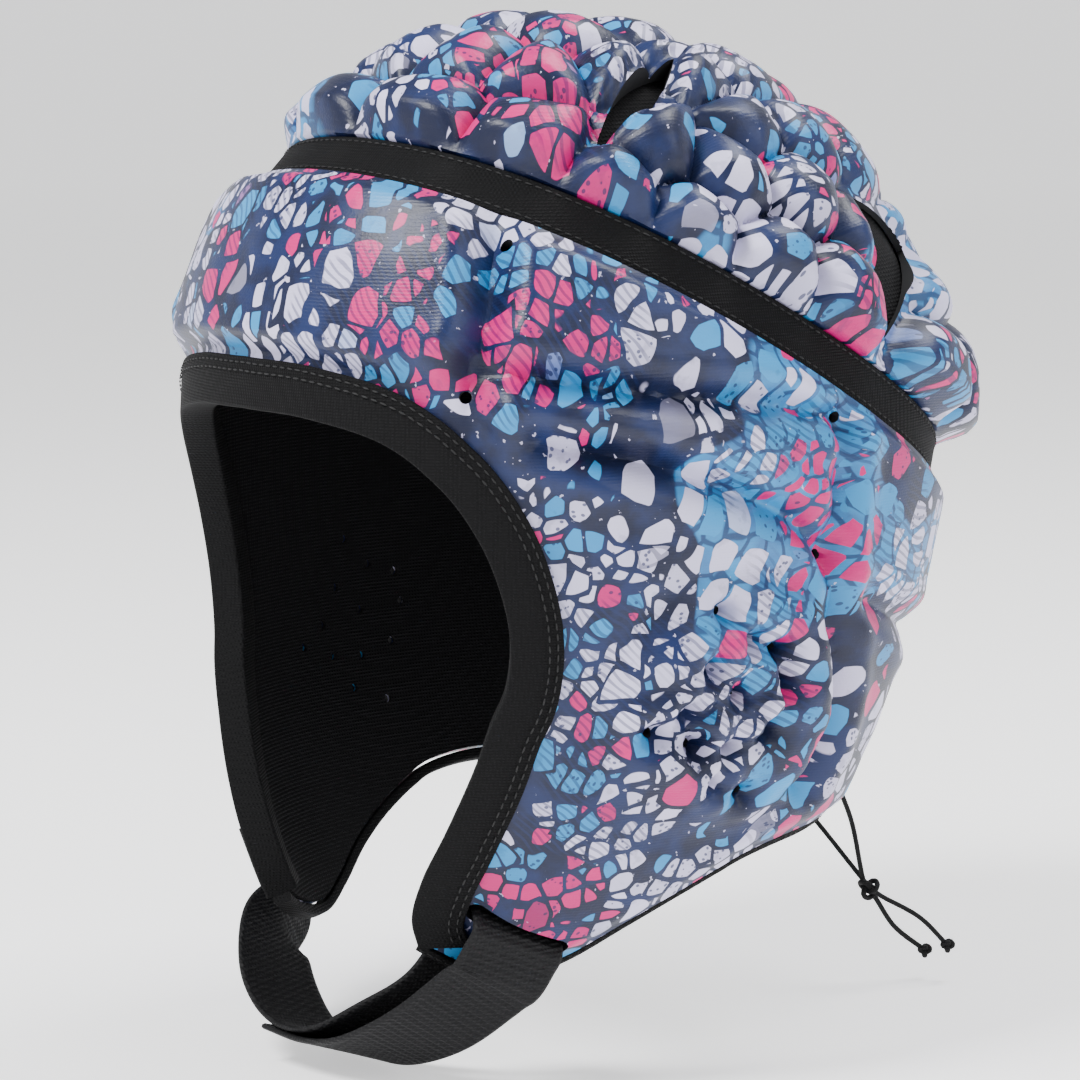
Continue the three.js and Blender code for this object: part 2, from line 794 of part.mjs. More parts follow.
// Crown bumps: thickness from the two nearest bump centres
const bumpCentres = CROWN_BUMPS.flatMap(({ turn, tip }) => [1, -1].map((side) => crownPoint(turn * side, tip, 0)));
const rimHeight = (p) => p.clone().sub(bandCentre).dot(bandAxis) - bandEdgeOffset;

function crownThickness(p) {
  const distances = bumpCentres.map((centre) => centre.distanceTo(p)).sort((a, b) => a - b);
  const inside = clamp((distances[1] - distances[0]) / (0.8 * bumpPitch), 0, 1);
  const bump = 1 - (1 - inside) ** 2.4;
  const low = 1 - smooth(rimHeight(p), bumpPitch / 2, 1.5 * bumpPitch);
  const rear = smooth(p.y, -headFront / 3, headBack / 2);
  const bulge = crownBulge + rear * (crownRearBulge * low - crownRearFlat * (1 - low));
  const full = crownCrease + bulge * bump;
  const rim = smooth(rimHeight(p), -1, crownRimRun);
  return flangeThickness + (full - flangeThickness) * rim;
}

const crownRise = (p) => padBase + crownThickness(p);

// Rings of the crown grid: tip in degrees from the crown's axis, and corners in the ring
const CROWN_RINGS = [
  { tip: 90, corners: 36 },
  { tip: 87.5, corners: 72 },
  { tip: 83.5, corners: 72 },
  { tip: 79, corners: 72 },
  { tip: 74.5, corners: 72 },
  { tip: 70, corners: 68 },
  { tip: 65, corners: 64 },
  { tip: 60, corners: 60 },
  { tip: 55, corners: 56 },
  { tip: 50, corners: 52 },
  { tip: 45, corners: 48 },
  { tip: 40, corners: 44 },
  { tip: 35, corners: 38 },
  { tip: 30, corners: 32 },
  { tip: 25, corners: 28 },
  { tip: 20, corners: 22 },
  { tip: 15, corners: 16 },
  { tip: 10, corners: 12 },
  { tip: 5, corners: 6 },
];
const LINING_RINGS = [
  { tip: 90, corners: 36 },
  { tip: 72, corners: 24 },
  { tip: 54, corners: 18 },
  { tip: 36, corners: 12 },
  { tip: 18, corners: 6 },
];

// One face of a dome, from its rim ring to its pole; returns the rim ring
function domeFace(skin, rings, rise, place) {
  const built = rings.map((ring) => {
    const angles = Array.from({ length: ring.corners }, (_, i) => (360 * i) / ring.corners);
    const ids = angles.map((turn) => {
      const p = place(turn, ring);
      return skin.add(lifted(p, rise(p)));
    });
    return { angles, ids };
  });
  for (let i = 0; i < built.length - 1; i += 1) skin.zip(built[i], built[i + 1]);
  const pole = crownPoint(0, 0, bandEdgeOffset);
  const poleId = skin.add(lifted(pole, rise(pole)));
  const top = built[built.length - 1].ids;
  top.forEach((id, i) => skin.face(id, top[(i + 1) % top.length], poleId));
  return built[0];
}

function dome(outerRings, outerRise, outerPlace, innerRings, innerRise, innerPlace) {
  const skin = new Skin();
  const outer = domeFace(skin, outerRings, outerRise, outerPlace);
  const facesBefore = skin.faces.length;
  const inner = domeFace(skin, innerRings, innerRise, innerPlace);
  for (let i = facesBefore; i < skin.faces.length; i += 3) {
    [skin.faces[i], skin.faces[i + 1]] = [skin.faces[i + 1], skin.faces[i]];
  }
  skin.zip(inner, outer);
  return skin.geometry();
}

const crownPlace = (turn, ring) => crownPoint(turn, ring.tip, bandEdgeOffset);

// Like crownPlace, but a corner near a bump's top or near the crease between two bumps moves onto it
const bumpSnap = 3.2;

function bumpPlace(turn, ring) {
  const p = crownPlace(turn, ring);
  if (rimHeight(p) < crownRimRun / 2) return p;
  const [first, second] = [...bumpCentres].sort((a, b) => a.distanceTo(p) - b.distanceTo(p));
  if (first.distanceTo(p) < bumpSnap) return settled(first);
  const across = second.clone().sub(first);
  const gap = (second.distanceToSquared(p) - first.distanceToSquared(p)) / (2 * across.length());
  return gap < bumpSnap ? settled(p.addScaledVector(across.normalize(), gap)) : p;
}

// The lining goes on from the crown's rim to the middle of the band
function crownLiningPlace(turn, ring) {
  if (!ring.underBand) return crownPlace(turn, ring);
  return crownPoint(turn, 90, clearance / 2);
}

// Cutter through the crown with a row of corners, whose sides bow out
function slitCutter({ bow, corners }) {
  const points = corners.map(({ turn, tip }) => crownPoint(turn, tip, 0));
  const mean = points.reduce((sum, p) => sum.add(p), new THREE.Vector3()).divideScalar(points.length);
  const centre = settled(mean);
  const out = headNormal(centre);
  const along = points[1].clone().sub(points[0]);
  along.addScaledVector(out, -along.dot(out)).normalize();
  const across = out.clone().cross(along);
  const flat = points.map((p) => {
    const arm = p.clone().sub(centre);
    return new THREE.Vector2(arm.dot(along), arm.dot(across));
  });
  if (flat.length > 2 && THREE.ShapeUtils.isClockWise(flat)) flat.reverse();
  const outline = new THREE.Shape();
  outline.moveTo(flat[0].x, flat[0].y);
  flat.forEach((here, i) => {
    const next = flat[(i + 1) % flat.length];
    const side = next.clone().sub(here).normalize();
    const middle = here.clone().lerp(next, 0.5);
    outline.quadraticCurveTo(middle.x + 2 * bow * side.y, middle.y - 2 * bow * side.x, next.x, next.y);
  });
  const geometry = new THREE.ExtrudeGeometry(outline, {
    depth: 2 * cutterReach, bevelEnabled: false, curveSegments: flat.length > 2 ? 2 : 5,
  });
  geometry.translate(0, 0, -cutterReach);
  return placeOnHead(geometry, centre, along);
}

function mirrored(geometry) {
  const copy = mergeVertices(geometry.index ? geometry.clone() : stripped(geometry), 1e-4);
  copy.applyMatrix4(new THREE.Matrix4().makeScale(-1, 1, 1));
  const index = copy.index.array;
  for (let i = 0; i < index.length; i += 3) [index[i], index[i + 1]] = [index[i + 1], index[i]];
  return copy;
}

function stripped(geometry) {
  const bare = geometry.clone();
  bare.deleteAttribute('normal');
  bare.deleteAttribute('uv');
  return bare;
}

const bothSides = (geometry) => [geometry, mirrored(geometry)];

// Ear holes of the left side
function earHoleCutters() {
  const back = new THREE.Vector3(0, 1, 0);
  const normal = headNormal(earCentre);
  const up = normal.clone().cross(back).normalize().negate();
  const along = up.clone().cross(normal).negate();
  if (up.z < 0) up.negate();
  if (along.y < 0) along.negate();
  return EAR_HOLES.map(({ bearing, out }) => {
    const point = settled(earCentre.clone()
      .addScaledVector(along, Math.cos(rad(bearing)) * out * earRadius)
      .addScaledVector(up, Math.sin(rad(bearing)) * out * earRadius));
    const geometry = new THREE.CylinderGeometry(earHoleDiameter / 2, earHoleDiameter / 2, 2 * cutterReach, 4);
    geometry.rotateX(Math.PI / 2);
    return placeOnHead(geometry, point, up);
  });
}

// Slot for the strap in the left flap
function strapSlotCutter() {
  const a = spotPoint(STRAP_SLOT.from);
  const b = spotPoint(STRAP_SLOT.to);
  const middle = settled(a.clone().lerp(b, 0.5));
  const geometry = new THREE.BoxGeometry(strapWidth + 3, STRAP_SLOT.height, 2 * cutterReach);
  return placeOnHead(geometry, middle, b.clone().sub(a));
}

// Eyelets beside the back lacing
function eyeletSpot(drop) {
  const z = -drop * capHeight;
  const share = (z - laceEdgeTop.y) / (laceEdgeBottom.y - laceEdgeTop.y);
  const edge = mix(laceEdgeTop, laceEdgeBottom, share);
  const inset = deg(eyeletInset / headOutline(z, true).reach);
  return { turn: edge.x - inset, drop };
}

const EYELETS = EYELET_DROPS.map(eyeletSpot);

// Tape sections: a profile of (in, rise) pairs walked inward from an edge point of the head form
function edgeSections(points, profile) {
  return points.map((p, i) => {
    const before = points[Math.max(i - 1, 0)];
    const after = points[Math.min(i + 1, points.length - 1)];
    const along = after.clone().sub(before).normalize();
    const inward = headNormal(p).cross(along).normalize();
    return profile.map(({ into, rise }) => lifted(settled(p.clone().addScaledVector(inward, into)), rise));
  });
}

// Face edge from the right flap tip over the forehead to the left flap tip
function faceEdgePoints() {
  const left = [];
  for (let column = 0; column <= foreheadColumns; column += 1) left.push(panelPoint(column, foreheadRows));
  for (let row = foreheadRows + 1; row <= panelRows; row += 1) left.push(panelPoint(foreheadColumns, row));
  const right = left.slice(1).reverse().map((p) => new THREE.Vector3(-p.x, p.y, p.z));
  return [...right, ...left];
}

const tapeOver = padBase + flangeThickness + tapeClearance + facetSlack;
const tapeUnder = -tapeClearance - 2 * facetSlack;

function faceTape() {
  const edge = -tapeClearance;
  const profile = [
    { into: faceTapeInnerWidth, rise: tapeUnder - tapeThickness },
    { into: edge - tapeThickness, rise: tapeUnder - tapeThickness },
    { into: edge - tapeThickness, rise: tapeOver + tapeThickness },
    { into: faceTapeWidth, rise: tapeOver + tapeThickness },
    { into: faceTapeWidth, rise: tapeOver },
    { into: edge, rise: tapeOver },
    { into: edge, rise: tapeUnder },
    { into: faceTapeInnerWidth, rise: tapeUnder },
  ];
  return loft(edgeSections(faceEdgePoints(), profile));
}

// Thin hem that stands out below the foam, from the flap tip to the back lacing
function neckHem() {
  const points = [];
  for (let column = foreheadColumns; column <= panelColumns; column += 1) {
    points.push(panelPoint(column, panelRows));
  }
  points[0].lerp(points[1], 0.35);
  const profile = [
    { into: -tapeClearance - hemWidth, rise: 0 },
    { into: -tapeClearance, rise: 0 },
    { into: -tapeClearance, rise: hemThickness },
    { into: -tapeClearance - hemWidth, rise: hemThickness },
  ];
  return loft(edgeSections(points, profile));
}

// Band in the valley, a closed ring
const bandStations = 52;

function bandRing() {
  const sections = Array.from({ length: bandStations }, (_, i) => {
    const turn = (360 * i) / bandStations;
    const at = (offset, rise) => {
      const p = headPoint(turn, bandLevel(turn, offset));
      return lifted(p, rise);
    };
    const half = bandWidth / 2;
    const base = padBase + 1.4 * facetSlack;
    const top = base + bandThickness;
    return [at(half, base), at(half, top), at(-half, top), at(-half, base)];
  });
  return loft(sections, true);
}

// Chin strap: sections of the webbing at points with a width direction
function webbing(route) {
  return loft(route.map(({ point, across }, i) => {
    const before = route[Math.max(i - 1, 0)].point;
    const after = route[Math.min(i + 1, route.length - 1)].point;
    const along = after.clone().sub(before).normalize();
    const flat = across.clone().addScaledVector(along, -across.dot(along)).normalize();
    const face = along.clone().cross(flat);
    const at = (w, t) => point.clone()
      .addScaledVector(flat, (w * strapWidth) / 2)
      .addScaledVector(face, (t * strapThickness) / 2);
    return [at(-1, -1), at(1, -1), at(1, 1), at(-1, 1)];
  }));
}

function webbingWay(yaw, dip) {
  return new THREE.Vector3(
    Math.sin(rad(yaw)) * Math.cos(rad(dip)),
    Math.cos(rad(yaw)) * Math.cos(rad(dip)),
    -Math.sin(rad(dip)),
  );
}

const loopStation = (row) => ({
  point: new THREE.Vector3(row.across * headHalfWidth, -row.ahead * headFront, -row.drop * capHeight),
  across: webbingWay(row.yaw, row.dip),
});

// Stations between hand-set ones, on a smooth curve
function smoothStations(stations, perSpan) {
  const curve = new THREE.CatmullRomCurve3(stations.map(({ point }) => point), false, 'centripetal');
  const count = (stations.length - 1) * perSpan;
  return steps(count).map((share) => {
    const place = share * (stations.length - 1);
    const low = Math.min(Math.floor(place), stations.length - 2);
    return {
      point: curve.getPoint(share),
      across: stations[low].across.clone().lerp(stations[low + 1].across, place - low).normalize(),
    };
  });
}

// Stretch sewn on the outside of the right flap, then the loop, up inside the left flap, out
// through its slot and back along itself
const SEWN_STRETCH = [
  { turn: -52.5, drop: 0.895 },
  { turn: -52, drop: 0.94 },
  { turn: -51, drop: 0.985 },
];
const strapOverFlap = padBase + cheekThickness + 1 + strapThickness / 2;
const strapInsideFlap = 5.2;

function strapStations() {
  const sewn = SEWN_STRETCH.map((spot) => ({
    point: lifted(spotPoint(spot), strapOverFlap),
    across: webbingWay(-34, 0),
  }));
  const a = spotPoint(STRAP_SLOT.from);
  const b = spotPoint(STRAP_SLOT.to);
  const slotWay = b.clone().sub(a).normalize();
  const slot = settled(a.clone().lerp(b, 0.5));
  const out = headNormal(slot);
  const down = slotWay.clone().cross(out).normalize();
  if (down.z > 0) down.negate();
  const atSlot = (low, rise) => ({
    point: slot.clone().addScaledVector(down, low).addScaledVector(out, rise),
    across: slotWay,
  });
  const outside = padBase + cheekThickness + 2.2;
  const before = smoothStations([
    ...sewn,
    ...STRAP_LOOP.map(loopStation),
    atSlot(15, -strapInsideFlap - 1.5),
    atSlot(8, -strapInsideFlap),
  ], 2);
  const through = [
    atSlot(3.5, -strapInsideFlap),
    atSlot(1.2, -strapInsideFlap + 0.7),
    atSlot(0.2, -strapInsideFlap + 2.6),
    atSlot(-0.1, padBase + 2),
    atSlot(0.2, outside - 2.2),
    atSlot(1.4, outside - 0.4),
  ];
  const after = smoothStations([atSlot(4, outside), atSlot(13, outside + 0.6), ...STRAP_RETURN.map(loopStation)], 2);
  return [...before, ...through, ...after];
}

// Back lacing: two mirrored strands from a rung inside the top eyelets, over their own edge and
// under the other one, out through each next eyelet
const laceSides = 5;
const laceInside = -tapeClearance - laceDiameter;
const laceCrossing = laceDiameter * 0.85; // half the height between crossing strands

function lacePath() {
  const outside = (spot) => panelRise(spotPoint(spot)) + laceDiameter * 0.9;
  const at = (turn, drop, rise) => lifted(headPoint(turn, -drop * capHeight), rise);
  const strand = (side) => {
    const points = [];
    EYELETS.forEach((eyelet, i) => {
      const from = i % 2 === 0 ? side : -side;
      const hole = (rise) => at(180 - from * (180 - eyelet.turn), eyelet.drop, rise);
      points.push(hole(laceInside), hole(outside(eyelet)));
      const next = EYELETS[i + 1];
      if (next) {
        const gapTurn = 180 - eyelet.turn;
        const cross = (share, rise) => at(
          180 - from * THREE.MathUtils.lerp(gapTurn, next.turn - 180, share),
          THREE.MathUtils.lerp(eyelet.drop, next.drop, share),
          rise,
        );
        const middle = padBase + flangeThickness / 2;
        points.push(cross(0.27, outside(eyelet) - 1));
        points.push(cross(0.5, middle + (side * (i % 2 === 0 ? 1 : -1)) * laceCrossing));
        points.push(cross(0.73, laceInside));
      }
    });
    return points;
  };
  return [...strand(-1).reverse(), at(180, EYELETS[0].drop, laceInside), ...strand(1)];
}

// Tube with mitred corners along a row of points
function tube(points, diameter, sides) {
  let up = new THREE.Vector3(0.3, 0.2, 1).normalize();
  return loft(points.map((p, i) => {
    const before = points[Math.max(i - 1, 0)];
    const after = points[Math.min(i + 1, points.length - 1)];
    const along = after.clone().sub(p).normalize().add(p.clone().sub(before).normalize()).normalize();
    up = up.clone().addScaledVector(along, -up.dot(along)).normalize();
    const side = along.clone().cross(up);
    return Array.from({ length: sides }, (_, k) => {
      const a = (2 * Math.PI * k) / sides;
      return p.clone()
        .addScaledVector(up, (Math.cos(a) * diameter) / 2)
        .addScaledVector(side, (Math.sin(a) * diameter) / 2);
    });
  }));
}

// Free cord: a round section along a smooth curve
function cord(points, stepsAlong) {
  const section = new THREE.Shape();
  section.absarc(0, 0, laceDiameter / 2, 0, 2 * Math.PI);
  return new THREE.ExtrudeGeometry(section, {
    extrudePath: new THREE.CatmullRomCurve3(points),
    steps: stepsAlong,
    curveSegments: 4,
    bevelEnabled: false,
  });
}

// Knot of crossing turns, as overlapping balls
function knot(centre, diameter, along) {
  const side = along.clone().cross(new THREE.Vector3(0, 0, 1)).normalize();
  const ball = (share, way, reach) => {
    const geometry = new THREE.SphereGeometry((share * diameter) / 2, 6, 4);
    const at = centre.clone().addScaledVector(way, reach * diameter);
    return geometry.translate(at.x, at.y, at.z);
  };
  return joined([ball(0.95, along, 0), ball(0.62, along, -0.36), ball(0.5, side, 0.3)]);
}

// Materials
const finish = (color, roughness) => new THREE.MeshStandardMaterial({ color, roughness, metalness: 0 });
const printedFoam = finish(0x24406b, 0.6);
const crownFoam = finish(0x4f8fb5, 0.6);
const blackLining = finish(0x101114, 0.9);
const blackTape = finish(0x0b0b0d, 0.85);
const blackWebbing = finish(0x141416, 0.8);
const blackCord = finish(0x0d0d0f, 0.75);

const cap = new THREE.Group();

function addPiece(name, geometry, material) {
  const mesh = new THREE.Mesh(geometry, material);
  mesh.name = name;
  cap.add(mesh);
}

const slits = CROWN_SLITS.flatMap((slit) => bothSides(slitCutter(slit)));
addPiece('crown_pad', cut(
  dome(CROWN_RINGS, crownRise, bumpPlace, LINING_RINGS, () => padBase, crownPlace),
  slits,
), crownFoam);

const crownLiningRings = [{ underBand: true, corners: 36 }, ...LINING_RINGS];
addPiece('crown_lining', dome(
  crownLiningRings,
  () => liningThickness,
  crownLiningPlace,
  crownLiningRings,
  () => 0,
  crownLiningPlace,
), blackLining);

addPiece('crown_band', bandRing(), blackTape);

const earHoles = earHoleCutters().flatMap(bothSides);
const vents = VENTS.flatMap((spot) => [1, -1].map((side) => pin(mirrorTurn(spot, side), ventDiameter)));
const eyelets = EYELETS.flatMap((spot) => [1, -1].map((side) => pin(mirrorTurn(spot, side), eyeletDiameter)));
const slot = strapSlotCutter();
addPiece('lower_panel', cut(
  quilt(panelRise, () => padBase, 1, 0),
  [...earHoles, ...vents, ...eyelets, slot],
), printedFoam);
addPiece('lower_lining', cut(
  quilt(() => liningThickness, () => 0, 2, -2),
  [...earHoles, ...eyelets, slot],
), blackLining);

addPiece('face_binding', faceTape(), blackTape);
const leftHem = neckHem();
addPiece('neck_binding_left', leftHem, blackTape);
addPiece('neck_binding_right', mirrored(leftHem), blackTape);
addPiece('chin_strap', webbing(strapStations()), blackWebbing);

const lacing = lacePath();
addPiece('back_lacing', tube(lacing, laceDiameter, laceSides), blackCord);

// Strands from the lowest eyelets to the knot, and tails from the knot to the end knots
const strandEnds = { right: lacing[0], left: lacing[lacing.length - 1] };
LACE_TAILS.forEach(({ name, end, bow }) => {
  const sideStep = new THREE.Vector3(name === 'left' ? 1.1 : -1.1, 0, 0);
  const start = strandEnds[name].clone();
  const above = KNOT_SPOT.clone().add(sideStep);
  const toKnot = above.clone().sub(start).normalize();
  const knotTop = above.clone().addScaledVector(toKnot, -knotDiameter * 0.75);
  const from = start.clone().addScaledVector(toKnot, laceDiameter);
  const sag = mix(from, knotTop, 0.5).add(new THREE.Vector3(0, 2.5, 0));
  addPiece(`lace_strand_${name}`, cord([from, sag, knotTop], 7), blackCord);
  const toEnd = end.clone().sub(above).normalize();
  const knotFoot = above.clone().addScaledVector(toEnd, knotDiameter * 0.55);
  const tailEnd = end.clone().addScaledVector(toEnd, -endKnotDiameter * 0.8);
  addPiece(`lace_tail_${name}`, cord([knotFoot, mix(knotFoot, tailEnd, 0.5).add(bow), tailEnd], 5), blackCord);
  addPiece(`lace_end_knot_${name}`, knot(end, endKnotDiameter, toEnd), blackCord);
});
addPiece('lace_knot', knot(KNOT_SPOT, knotDiameter, new THREE.Vector3(0.2, 0.4, -1).normalize()), blackCord);

export default cap;
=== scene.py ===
"""Looks of a worn rugby scrum cap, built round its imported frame.

The tables are in millimetres and degrees. Every mesh is made in metres, with its place in its
vertices and its object at the origin.
"""

import sys

import logging
import math
from dataclasses import dataclass, field
from enum import Enum
from typing import Callable, Sequence

import bmesh
import bpy
import numpy as np
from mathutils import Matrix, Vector


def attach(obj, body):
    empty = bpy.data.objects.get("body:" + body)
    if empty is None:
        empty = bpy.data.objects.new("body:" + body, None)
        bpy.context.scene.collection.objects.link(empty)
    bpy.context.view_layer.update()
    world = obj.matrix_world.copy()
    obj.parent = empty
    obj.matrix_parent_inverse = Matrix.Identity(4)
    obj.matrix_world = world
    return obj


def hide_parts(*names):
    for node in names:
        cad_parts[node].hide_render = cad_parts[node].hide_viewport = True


log = logging.getLogger("scrum_cap")

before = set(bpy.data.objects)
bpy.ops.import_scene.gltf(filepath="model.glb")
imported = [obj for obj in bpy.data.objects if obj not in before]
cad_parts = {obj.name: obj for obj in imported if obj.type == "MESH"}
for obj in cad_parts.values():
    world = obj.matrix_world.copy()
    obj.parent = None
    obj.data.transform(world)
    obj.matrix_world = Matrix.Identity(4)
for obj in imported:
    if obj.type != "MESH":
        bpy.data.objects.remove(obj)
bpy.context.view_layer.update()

MM = 0.001
MERGE_METRES = 2e-6
SLIVER_METRES = 1e-7
SHARP_ANGLE = 50.0
BISECTIONS = 36
Points = np.ndarray
Rise = Callable[[Points], np.ndarray]
Piece = bpy.types.Object
Finish = bpy.types.Material
Socket = bpy.types.NodeSocket


class Slot(Enum):
    """Material slots of the record."""

    CROWN_PRINT = "crown_print"
    PANEL_PRINT = "panel_print"
    LINING = "lining"
    TAPE = "tape"
    WEBBING = "webbing"
    CORD = "cord"


class Half(Enum):
    """Side of the wearer that a piece is on."""

    LEFT = 1
    RIGHT = -1


# Turn is degrees about the head from the front to the wearer's left, and drop is a share of the
# cap's height below its apex.
HEAD_LEVELS = (
    # fall, side, front, back
    (0.0, 1.0, 1.0, 1.0),
    (0.209, 1.0, 0.989, 0.933),
    (0.396, 0.987, 0.962, 0.827),
    (0.582, 0.942, 0.924, 0.712),
    (0.769, 0.846, 0.87, 0.606),
    (0.955, 0.679, 0.793, 0.529),
    (1.179, 0.436, 0.696, 0.462),
)

FACE_EDGE = (
    (0, 0.374), (16.5, 0.378), (31, 0.399), (40, 0.445), (45.7, 0.503), (48.8, 0.564),
    (49.8, 0.619), (48.8, 0.673), (46.4, 0.71), (43.3, 0.768), (38.5, 0.836), (34.6, 0.885),
    (32.4, 0.93), (33.5, 0.962),
)

LOWER_EDGE = (
    (33.5, 0.962), (42, 0.983), (52, 0.993), (61, 0.975), (72, 0.937), (83, 0.902), (93, 0.876),
    (104, 0.863), (117, 0.858), (132, 0.856), (150, 0.853), (170, 0.85),
)

VENTS = ((48, 0.21), (43, 0.357), (104, 0.396), (101.5, 0.546))
EYELET_DROPS = (0.57, 0.65, 0.73, 0.81)

# Ear holes: bearing from the back of the head, seen from the left, and share of the ear's radius
EAR_HOLES = (
    (76, 0.13), (-90, 0.28), (-28, 0.4), (124, 0.42), (176, 0.42), (-142, 0.42), (18, 0.52),
    (45, 0.62), (74, 0.55), (-103, 0.58), (-168, 0.7), (-72, 0.74), (98, 0.78),
)

EAR_SPOT = (83.5, 0.699)
EAR_RADIUS = 31.0
SLOT_ENDS = ((43.5, 0.92), (59, 0.955))

# Crown bumps of the left half: turn and tip about the band's axis
CROWN_BUMPS = (
    (14, 79), (38, 78), (56, 81), (74, 80), (93, 80), (112, 77), (137, 84), (156, 80), (173, 80),
    (11, 58), (30, 58), (62, 65), (80, 65), (101, 60), (120, 65), (142, 62), (164, 61), (20, 37),
    (47, 49), (70, 36), (87, 47), (110, 43), (135, 43), (164, 41), (33, 17), (100, 24), (155, 21),
)


@dataclass(frozen=True)
class Slit:
    """Slit cut through the crown, by its corners in the bumps' columns."""

    bow: float
    corners: tuple[tuple[float, float], ...]


CROWN_SLITS = (
    Slit(4.2, ((50, 73.5), (62, 34.5))),
    Slit(1.8, ((123.0, 54), (146, 60), (121, 85))),
)


@dataclass(frozen=True)
class Fold:
    """Moulded fold of the lower panel: depth as a share of the pad, and width in millimetres."""

    deep: float
    wide: float
    path: tuple[tuple[float, float], ...]


FOLDS = (
    Fold(0.6, 4.5, ((45.5, 0.15), (46, 0.26), (45, 0.31), (43.5, 0.358), (43, 0.42))),
    Fold(0.5, 4.0, ((45, 0.33), (56.5, 0.343), (74.5, 0.361), (94, 0.379), (104, 0.396))),
    Fold(0.45, 4.0, ((53, 0.403), (68, 0.425), (82, 0.46), (92.5, 0.492), (101, 0.542))),
    Fold(0.4, 4.5, ((104, 0.396), (103, 0.47), (102, 0.545), (106, 0.638), (109, 0.73), (106, 0.8))),
    Fold(0.35, 5.0, ((112, 0.6), (130, 0.64), (150, 0.665), (166, 0.675))),
)


@dataclass(frozen=True)
class Walls:
    """Wall thicknesses and clearances that the pieces share, in millimetres."""

    clearance: float = 0.3
    lining: float = 1.2
    lining_gap: float = 0.15
    facet_slack: float = 0.25
    flange: float = 3.0
    pad: float = 8.0
    forehead: float = 9.0
    cheek: float = 6.5
    tape_clearance: float = 0.6

    @property
    def pad_base(self) -> float:
        """Rise of the foam's inner face over the head form."""
        return self.lining + self.clearance + self.facet_slack


def unit(vectors: Points) -> Points:
    """Vectors of length 1 along the last axis."""
    return vectors / np.maximum(np.linalg.norm(vectors, axis=-1, keepdims=True), 1e-12)


def smooth(values: np.ndarray, start: float, end: float) -> np.ndarray:
    """Smooth step from 0 at start to 1 at end."""
    t = np.clip((np.asarray(values, float) - start) / (end - start), 0.0, 1.0)
    return t * t * (3.0 - 2.0 * t)


def mix(a: Points, b: Points, share: np.ndarray) -> Points:
    """Blend of two arrays of points by a share for each point."""
    share = np.asarray(share, float)[..., None]
    return a * (1.0 - share) + b * share


def bisect(low: float, high: float, shape: tuple[int, ...], is_high: Callable) -> np.ndarray:
    """Finds where a test turns true, for many values at once.

    Args:
        low: Value at which the test is false.
        high: Value at which the test is true.
        shape: Shape of the result.
        is_high: Test that takes and returns an array of that shape.

    Returns:
        The values at which the test turns true.
    """
    a = np.full(shape, float(low))
    b = np.full(shape, float(high))
    for _ in range(BISECTIONS):
        middle = (a + b) / 2
        over = is_high(middle)
        b = np.where(over, middle, b)
        a = np.where(over, a, middle)
    return (a + b) / 2


def distance_to(line: Points, points: Points) -> np.ndarray:
    """Distance from points to a line of straight segments.

    Args:
        line: Corners of the line, one a row.
        points: Points, one a row.

    Returns:
        The distance of each point.
    """
    best = np.full(len(points), np.inf)
    for start, end in zip(line[:-1], line[1:]):
        along = end - start
        share = np.clip((points - start) @ along / max(along @ along, 1e-12), 0.0, 1.0)
        gap = points - start - share[:, None] * along
        best = np.minimum(best, np.einsum("ij,ij->i", gap, gap))
    return np.sqrt(best)


class ColumnCurve:
    """Smooth curve through a table's columns, flat at the first row."""

    def __init__(self, xs: Sequence[float], ys: Sequence[float]) -> None:
        """Keeps the rows and works out the slope at each.

        Args:
            xs: Positions, rising.
            ys: Values there.
        """
        self.xs = np.array(xs, float)
        self.ys = np.array(ys, float)
        last = len(self.xs) - 1
        after = np.minimum(np.arange(1, last + 1) + 1, last)
        before = np.arange(0, last)
        rise = (self.ys[after] - self.ys[before]) / (self.xs[after] - self.xs[before])
        self.slopes = np.concatenate([[0.0], rise])

    def __call__(self, x: np.ndarray) -> np.ndarray:
        """Values at some positions.

        Args:
            x: Positions.

        Returns:
            The values.
        """
        i = np.clip(np.searchsorted(self.xs, x) - 1, 0, len(self.xs) - 2)
        run = self.xs[i + 1] - self.xs[i]
        t = np.clip((x - self.xs[i]) / run, 0.0, 1.0)
        ease = t * t * (3 - 2 * t)
        bend = t * (1 - t) * ((1 - t) * self.slopes[i] - t * self.slopes[i + 1]) * run
        return self.ys[i] + (self.ys[i + 1] - self.ys[i]) * ease + bend


